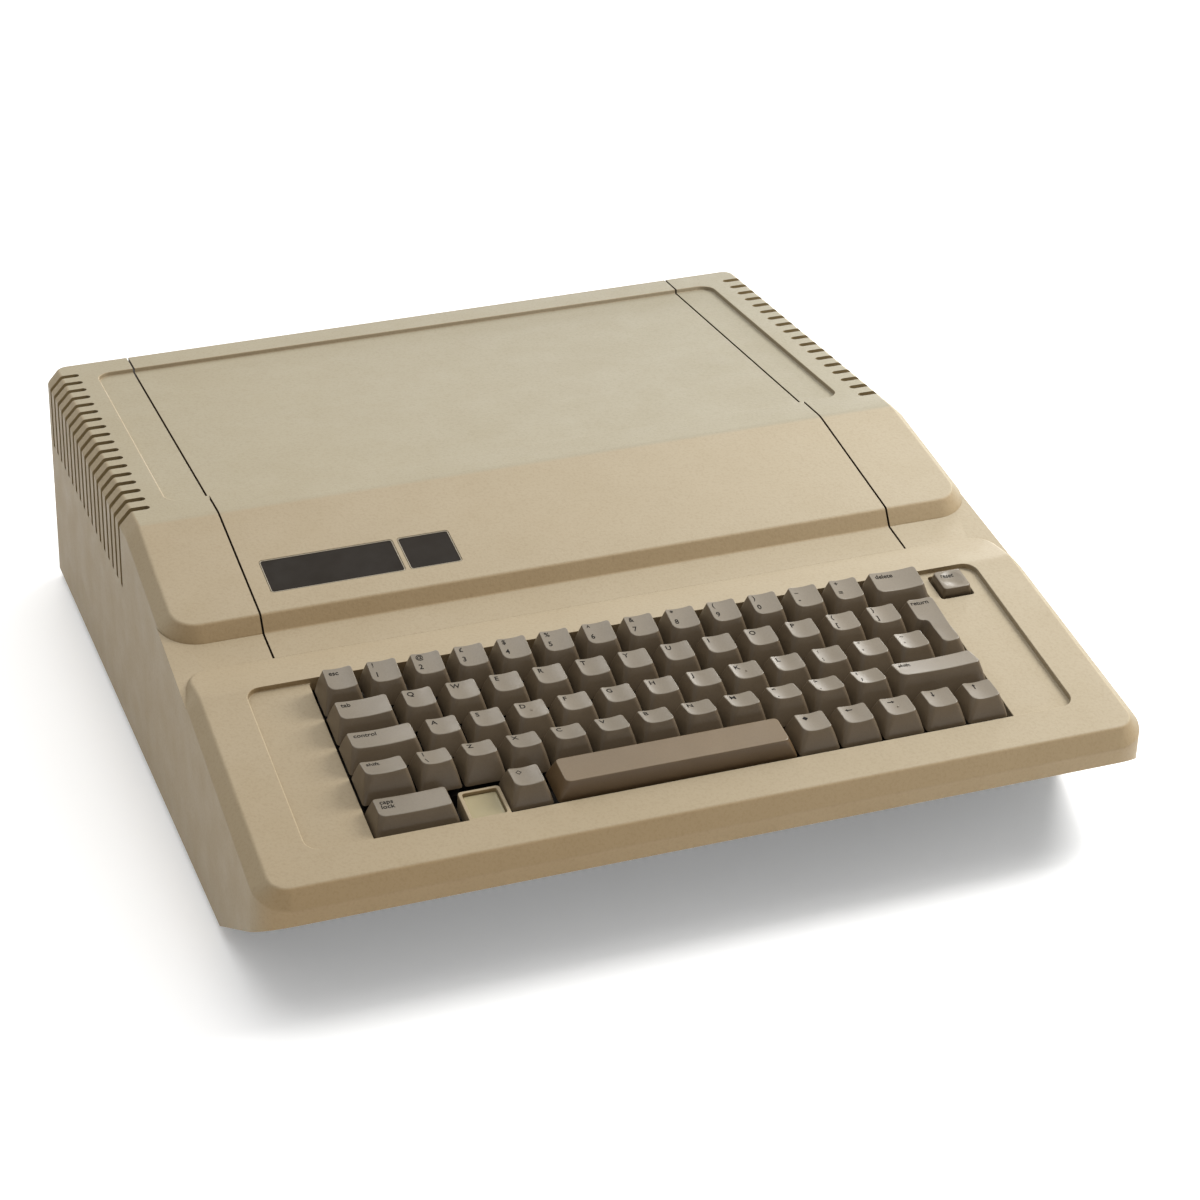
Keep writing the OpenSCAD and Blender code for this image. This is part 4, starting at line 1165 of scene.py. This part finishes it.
for name, (r, u, n, word) in words.items():
    latched = name == "key_caps_lock"
    dip, down = (0.5, -3.0) if latched else (0.8, 0.0)
    base, top, surf, (x0, x1, v0, side, xm) = key_shape(u, n, r, dip)
    t = ROW_TOP[r]
    left, rear = x0 + side + 2.0, v0 + t[2] - 1.5
    marks = []
    if isinstance(word, list):
        for k, w in enumerate(word):
            marks.append(glyph(w, CAP * 0.88, left, rear - CAP * 0.88 - k * CAP * 1.05, surf, down))
    elif isinstance(word, int):
        marks.append(outline_glyph([turned(ARROW, word)], 2.6, left + 2.4, rear - 1.5, surf))
    else:
        ring = [(0.5 * math.cos(2 * math.pi * k / 4), 0.5 * math.sin(2 * math.pi * k / 4)) for k in range(4)]
        if name == "key_option_right":
            marks.append(outline_glyph([ring], 2.6, left + 1.9, rear - 1.6, surf))
        else:
            for k in range(4):
                a, b = ring[k], ring[(k + 1) % 4]
                marks.append(outline_glyph([[a, b, (b[0] * 0.74, b[1] * 0.74), (a[0] * 0.74, a[1] * 0.74)]], 2.6, left + 1.9, rear - 1.6, surf))
    parts = make_cap(u, n, r, dip, down)
    if name == "key_arrow_right":
        parts.append(dot(xm, v0 + 0.6, surf))
    finish_keys(name, [parts], marks)


def return_key():
    """L-shaped cap over two rows, with a soft step on its left."""
    xr = KX + 14.5 * PITCH - 0.42
    xa, xb = KX + 13.5 * PITCH + 0.42, KX + 13.75 * PITCH + 0.42
    vl, vs, vh = ROW_V[2] - 9.1, 77.4, ROW_V[1] + 9.1
    base = [(xb, vl), (xr, vl), (xr, vh), (xa, vh), (xa, vs), (xb, vs + 0.3)]
    top = [(xb + 2.9, ROW_V[2] - 3.96), (xr - 3.1, ROW_V[2] - 3.96), (xr - 3.1, ROW_V[1] + 7.1), (xa + 3.1, ROW_V[1] + 7.1), (xa + 3.1, vs + 2.6), (xb + 2.9, vs + 2.7)]
    xm, hw = KX + 14.02 * PITCH, 6.3

    def surf(x, v):
        a, b, c, d = ROW_V[2] - 3.96, ROW_V[2] + 7.4, ROW_V[1] - 5, ROW_V[1] + 7.1
        if v < b:
            w = 7.96 + (7.0 - 7.96) * (v - a) / (b - a)
        elif v < c:
            w = 7.0 + 0.4 * smooth01((v - b) / (c - b))
        else:
            w = 7.4 + 0.6 * (v - c) / (d - c)
        return w - 0.55 * max(0.0, 1 - ((x - xm) / hw) ** 2)

    cap = cap_mesh(base, top, surf, -1.8, [6, 12, 6, 8, 3, 8], rb=[1.5, 1.5, 1.5, 1.5, 2.2, 2.0], rt=[2.6, 2.2, 2.0, 2.0, 2.6, 2.4], tops=(0.9, 1.9, 2.9), roof=3.2)
    x = KX + 14.1 * PITCH
    return [cap, stem_mesh(x, ROW_V[2], 3.6), stem_mesh(x, ROW_V[1], 3.6)], surf, (xa + 3.1, ROW_V[1] + 7.1)


parts, surf, (lx, lv) = return_key()
finish_keys("key_return", [parts], [glyph("return", CAP * 0.86, lx + 0.9, lv - 1.4 - CAP * 0.86, surf)])


def space_key():
    x0, x1 = KX + 4 * PITCH + 0.42, KX + 9.5 * PITCH - 0.42
    v0, side = ROW_V[4], 3.6
    t = (-7.2, 7.0, 7.4, 6.8)
    base = [(x0, v0 - 9.1), (x1, v0 - 9.1), (x1, v0 + 9.1), (x0, v0 + 9.1)]
    top = [(x0 + side, v0 + t[0]), (x1 - side, v0 + t[0]), (x1 - side, v0 + t[2]), (x0 + side, v0 + t[2])]

    def surf(x, v):
        k = (v - v0 - 0.1) / 7.3
        return t[1] + (t[3] - t[1]) * (v - v0 - t[0]) / (t[2] - t[0]) - 0.30 * max(0.0, 1 - k * k) * 0.6

    cap = cap_mesh(base, top, surf, -1.8, [26, 6, 26, 6], rt=[2.6, 2.6, 2.0, 2.0], tops=(0.8, 2.6, 4.8), edge=0.45)
    xm = (x0 + x1) / 2
    return [cap] + [stem_mesh(xm + d, v0, 3.6) for d in (-38, 0, 38)]


finish_keys("key_space", [space_key()], [], mat_space)


def reset_key():
    cx, cv = 152.45, 110.3
    put = lambda x, v, w: deck(cx + x, cv + v, w + 0.9)
    nc, div = 6, [6, 6, 6, 6]
    sq = lambda a, b, f, g, r: round_poly([(-a, -f), (b, -f), (b, g), (-a, g)], [r] * 4, nc, div)
    rings = [(sq(5.2, 5.2, 5.2, 5.2, 0.6), -2.9), (sq(5.8, 5.8, 5.6, 5.6, 0.8), -5.6), (sq(7.2, 7.2, 6.9, 6.9, 1.1), -5.6), (sq(7.3, 7.3, 7.0, 7.0, 1.2), -5.4), (sq(6.75, 6.75, 6.65, 6.6, 1.5), -1.8), (sq(6.42, 6.42, 6.42, 6.3, 1.6), -0.25), (sq(6.28, 6.28, 6.28, 6.18, 1.55), 0.12), (sq(6.02, 6.02, 6.02, 5.92, 1.4), 0.29), (sq(5.7, 5.7, 5.7, 5.65, 1.3), 0.30)]
    verts = []
    n = len(rings[0][0])
    for pts, w in rings:
        verts += [put(p.x, p.y, w) for p in pts]
    count = len(rings)
    for rr in (5.35, 5.0, 4.2, 3.2, 2.0, 1.0):
        for p in rings[0][0]:
            q = p.normalized() * rr
            dish = 12.4 - math.sqrt(13.2 ** 2 - rr ** 2)
            verts.append(put(q.x, q.y, min(0.30, dish)))
        count += 1
    faces = [(j * n + k, j * n + (k + 1) % n, (j + 1) * n + (k + 1) % n, (j + 1) * n + k) for j in range(count - 1) for k in range(n)]
    faces.append(tuple(reversed(range(n))))
    faces.append(tuple(range((count - 1) * n, count * n)))
    return [mesh_object("tmp", verts, faces), rod((cx, cv, -11.4), 2.55, 10.0, n=20, put=deck)]


def reset_surf(x, v):
    q = math.hypot(x - 152.45, v - 110.3)
    return 0.9 + min(0.30, 12.4 - math.sqrt(max(0.0, 13.2 ** 2 - q * q)))


finish_keys("key_reset", [reset_key()], [glyph("reset", CAP * 0.8, 152.45 - 4.3, 110.3 + 2.1, reset_surf)])


# ------------------------------------------------------------------ lamp window
def lens():
    x0, x1, v0, v1 = -98.7, -84.3, 19.4, 34.0
    sq = lambda d, r: round_poly([(x0 + d, v0 + d), (x1 - d, v0 + d), (x1 - d, v1 - d), (x0 + d, v1 - d)], [r] * 4, 4, [4, 4, 4, 4])
    rings = [(sq(1.2, 0.4), -2.6), (sq(1.0, 0.4), -3.2), (sq(0.0, 0.5), -3.2), (sq(0.0, 0.9), -1.85), (sq(0.12, 0.9), -1.68), (sq(0.35, 0.8), -1.60), (sq(0.75, 0.7), -1.60), (sq(0.95, 0.6), -1.72), (sq(1.6, 0.5), -1.74), (sq(4.0, 0.4), -1.72)]
    n = len(rings[0][0])
    verts = [deck(p.x, p.y, w) for pts, w in rings for p in pts]
    faces = [(j * n + k, j * n + (k + 1) % n, (j + 1) * n + (k + 1) % n, (j + 1) * n + k) for j in range(len(rings) - 1) for k in range(n)]
    faces.append(tuple(reversed(range(n))))
    faces.append(tuple(range((len(rings) - 1) * n, len(rings) * n)))
    return mesh_object("tmp", verts, faces)


place(lens(), "lamp_window", "chassis", "power_lamp", slot="lamp_lens", material=mat_lens, sharp=40)


# ------------------------------------------------------------------ finishes of the remaining construction parts
FINISH = {
    "lid_latches": mat_inner, "base_pan": mat_zinc, "feet": mat_rubber, "case_screws": mat_steel, "rear_panel": mat_inner, "port_covers": mat_inner,
    "psu_case": mat_zinc, "power_inlet": mat_black, "power_pins": mat_steel, "switch_housing": mat_black, "power_rocker": mat_rocker,
    "power_lead": mat_lead, "power_plug": mat_nylon, "main_board": mat_board, "board_standoffs": mat_nylon, "card_slots": mat_black, "aux_slot": mat_slot,
    "logic_chips": mat_chip, "memory_chips": mat_chip, "board_components": mat_orange, "video_jack": mat_steel, "cassette_jacks": mat_black, "game_port": mat_steel,
    "speaker": mat_paper, "speaker_lead": mat_red, "keyboard_plate": mat_plate, "keyboard_board": mat_board, "keyboard_screws": mat_steel,
    "key_switches": mat_switch, "space_guides": mat_nylon, "keyboard_ribbon": mat_ribbon, "ribbon_plug": mat_black, "lamp_holder": mat_black,
}
SOFTEN = {"rear_panel": 0.3, "port_covers": 0.4, "psu_case": 0.6, "power_inlet": 0.5, "switch_housing": 0.5, "power_rocker": 0.5, "feet": 0.8, "case_screws": 0.25, "base_pan": 0.25, "power_plug": 0.5, "card_slots": 0.35, "aux_slot": 0.35, "board_standoffs": 0.3, "video_jack": 0.25, "cassette_jacks": 0.4, "game_port": 0.3, "ribbon_plug": 0.4, "lid_latches": 0.4, "speaker": 0.4, "keyboard_plate": 0.2, "power_pins": 0.3}
for node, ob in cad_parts.items():
    if ob.hide_render:
        continue
    if not ob.material_slots:
        ob.data.materials.append(FINISH[node])
    for s in ob.material_slots:
        s.material = FINISH[node]
    if node in SOFTEN:
        b = ob.modifiers.new("edges", "BEVEL")
        b.width = SOFTEN[node] / 1000
        b.segments = 2
        b.limit_method = "ANGLE"
        b.angle_limit = math.radians(40)
        b.harden_normals = False

# ------------------------------------------------------------------ floor, light and camera
floor_mesh = bpy.data.meshes.new("floor")
floor_mesh.from_pydata([(-9, -9, 0), (9, -9, 0), (9, 9, 0), (-9, 9, 0)], [], [(0, 1, 2, 3)])
floor = bpy.data.objects.new("floor", floor_mesh)
scene.collection.objects.link(floor)
fm = Mat("floor_paper")
floor_mesh.materials.append(fm.finish((0.90, 0.905, 0.91, 1), roughness=0.9, specular=0.1))
fm.b.inputs["Emission Color"].default_value = (1, 1, 1, 1)
fm.b.inputs["Emission Strength"].default_value = 0.20

# a soft room: bright above and behind, dimmer and warmer in front and on the left
world = bpy.data.worlds.new("studio")
scene.world = world
world.use_nodes = True
wt = world.node_tree
bg = wt.nodes["Background"]
wc = wt.nodes.new("ShaderNodeTexCoord")
ws = wt.nodes.new("ShaderNodeSeparateXYZ")
wt.links.new(wc.outputs["Generated"], ws.inputs[0])


def span_of(out, lo, hi):
    n = wt.nodes.new("ShaderNodeMapRange")
    n.interpolation_type = "SMOOTHSTEP"
    for i, v in ((1, lo), (2, hi), (3, 0.0), (4, 1.0)):
        n.inputs[i].default_value = v
    wt.links.new(out, n.inputs[0])
    return n.outputs[0]


def blend(fac, a, b):
    n = wt.nodes.new("ShaderNodeMix")
    n.data_type = "RGBA"
    wt.links.new(fac, n.inputs[0])
    for i, v in ((6, a), (7, b)):
        if isinstance(v, tuple):
            n.inputs[i].default_value = v
        else:
            wt.links.new(v, n.inputs[i])
    return n.outputs[2]


low_sky = blend(span_of(ws.outputs[1], -0.55, 0.45), (0.17, 0.118, 0.072, 1), (0.80, 0.82, 0.84, 1))
low_sky = blend(span_of(ws.outputs[0], -0.75, 0.10), (0.27, 0.265, 0.26, 1), low_sky)
wt.links.new(blend(span_of(ws.outputs[2], 0.15, 0.85), low_sky, (1.0, 1.0, 1.0, 1)), bg.inputs["Color"])
bg.inputs["Strength"].default_value = 0.66


def area(name, at, to, size, power, color):
    li = bpy.data.lights.new(name, "AREA")
    li.shape = "RECTANGLE"
    li.size, li.size_y = size
    li.energy = power
    li.color = color
    ob = bpy.data.objects.new(name, li)
    ob.location = at
    ob.rotation_euler = (Vector(to) - Vector(at)).to_track_quat("-Z", "Y").to_euler()
    scene.collection.objects.link(ob)
    return ob


sun = bpy.data.lights.new("overhead_soft", "SUN")
sun.energy = 1.25
sun.angle = math.radians(62)
sun.color = (1.0, 0.985, 0.96)
sun_ob = bpy.data.objects.new("overhead_soft", sun)
sun_ob.rotation_euler = Vector((-0.10, -0.16, -1.25)).to_track_quat("-Z", "Y").to_euler()
scene.collection.objects.link(sun_ob)
area("side_panel", (0.64, -0.13, 0.66), (0.0, -0.04, 0.08), (0.34, 0.40), 7.0, (1.0, 0.99, 0.97))
area("rear_strip", (0.95, 1.75, 0.24), (0.0, 0.0, 0.08), (1.1, 0.26), 9.0, (1.0, 0.99, 0.97))
area("rear_window", (1.02, 1.15, 0.72), (0.0, -0.05, 0.08), (0.36, 0.26), 5.0, (1.0, 0.99, 0.97))
area("back_panel", (-0.04, 0.98, 1.22), (0.0, -0.05, 0.08), (0.30, 0.75), 3.0, (1.0, 0.985, 0.96))

R = ((0.9526578, -0.30183989, -0.03654859), (0.15450401, 0.37706395, 0.91320934), (-0.26186185, -0.8756229, 0.40584838))
cam = bpy.data.cameras.new("camera")
cam.sensor_fit = "HORIZONTAL"
cam.sensor_width = 36.0
cam.lens = 88.743
cam.shift_x, cam.shift_y = 0.10019, -0.08570
cam.clip_start, cam.clip_end = 0.05, 60.0
cam_ob = bpy.data.objects.new("camera", cam)
cam_ob.matrix_world = Matrix(((R[0][0], R[1][0], R[2][0], -0.384169), (R[0][1], R[1][1], R[2][1], -1.186712), (R[0][2], R[1][2], R[2][2], 0.658869), (0, 0, 0, 1)))
scene.collection.objects.link(cam_ob)
scene.camera = cam_ob
scene.view_settings.view_transform = "Standard"
scene.view_settings.look = "None"
scene.view_settings.exposure = 0.0
scene.view_settings.gamma = 1.0
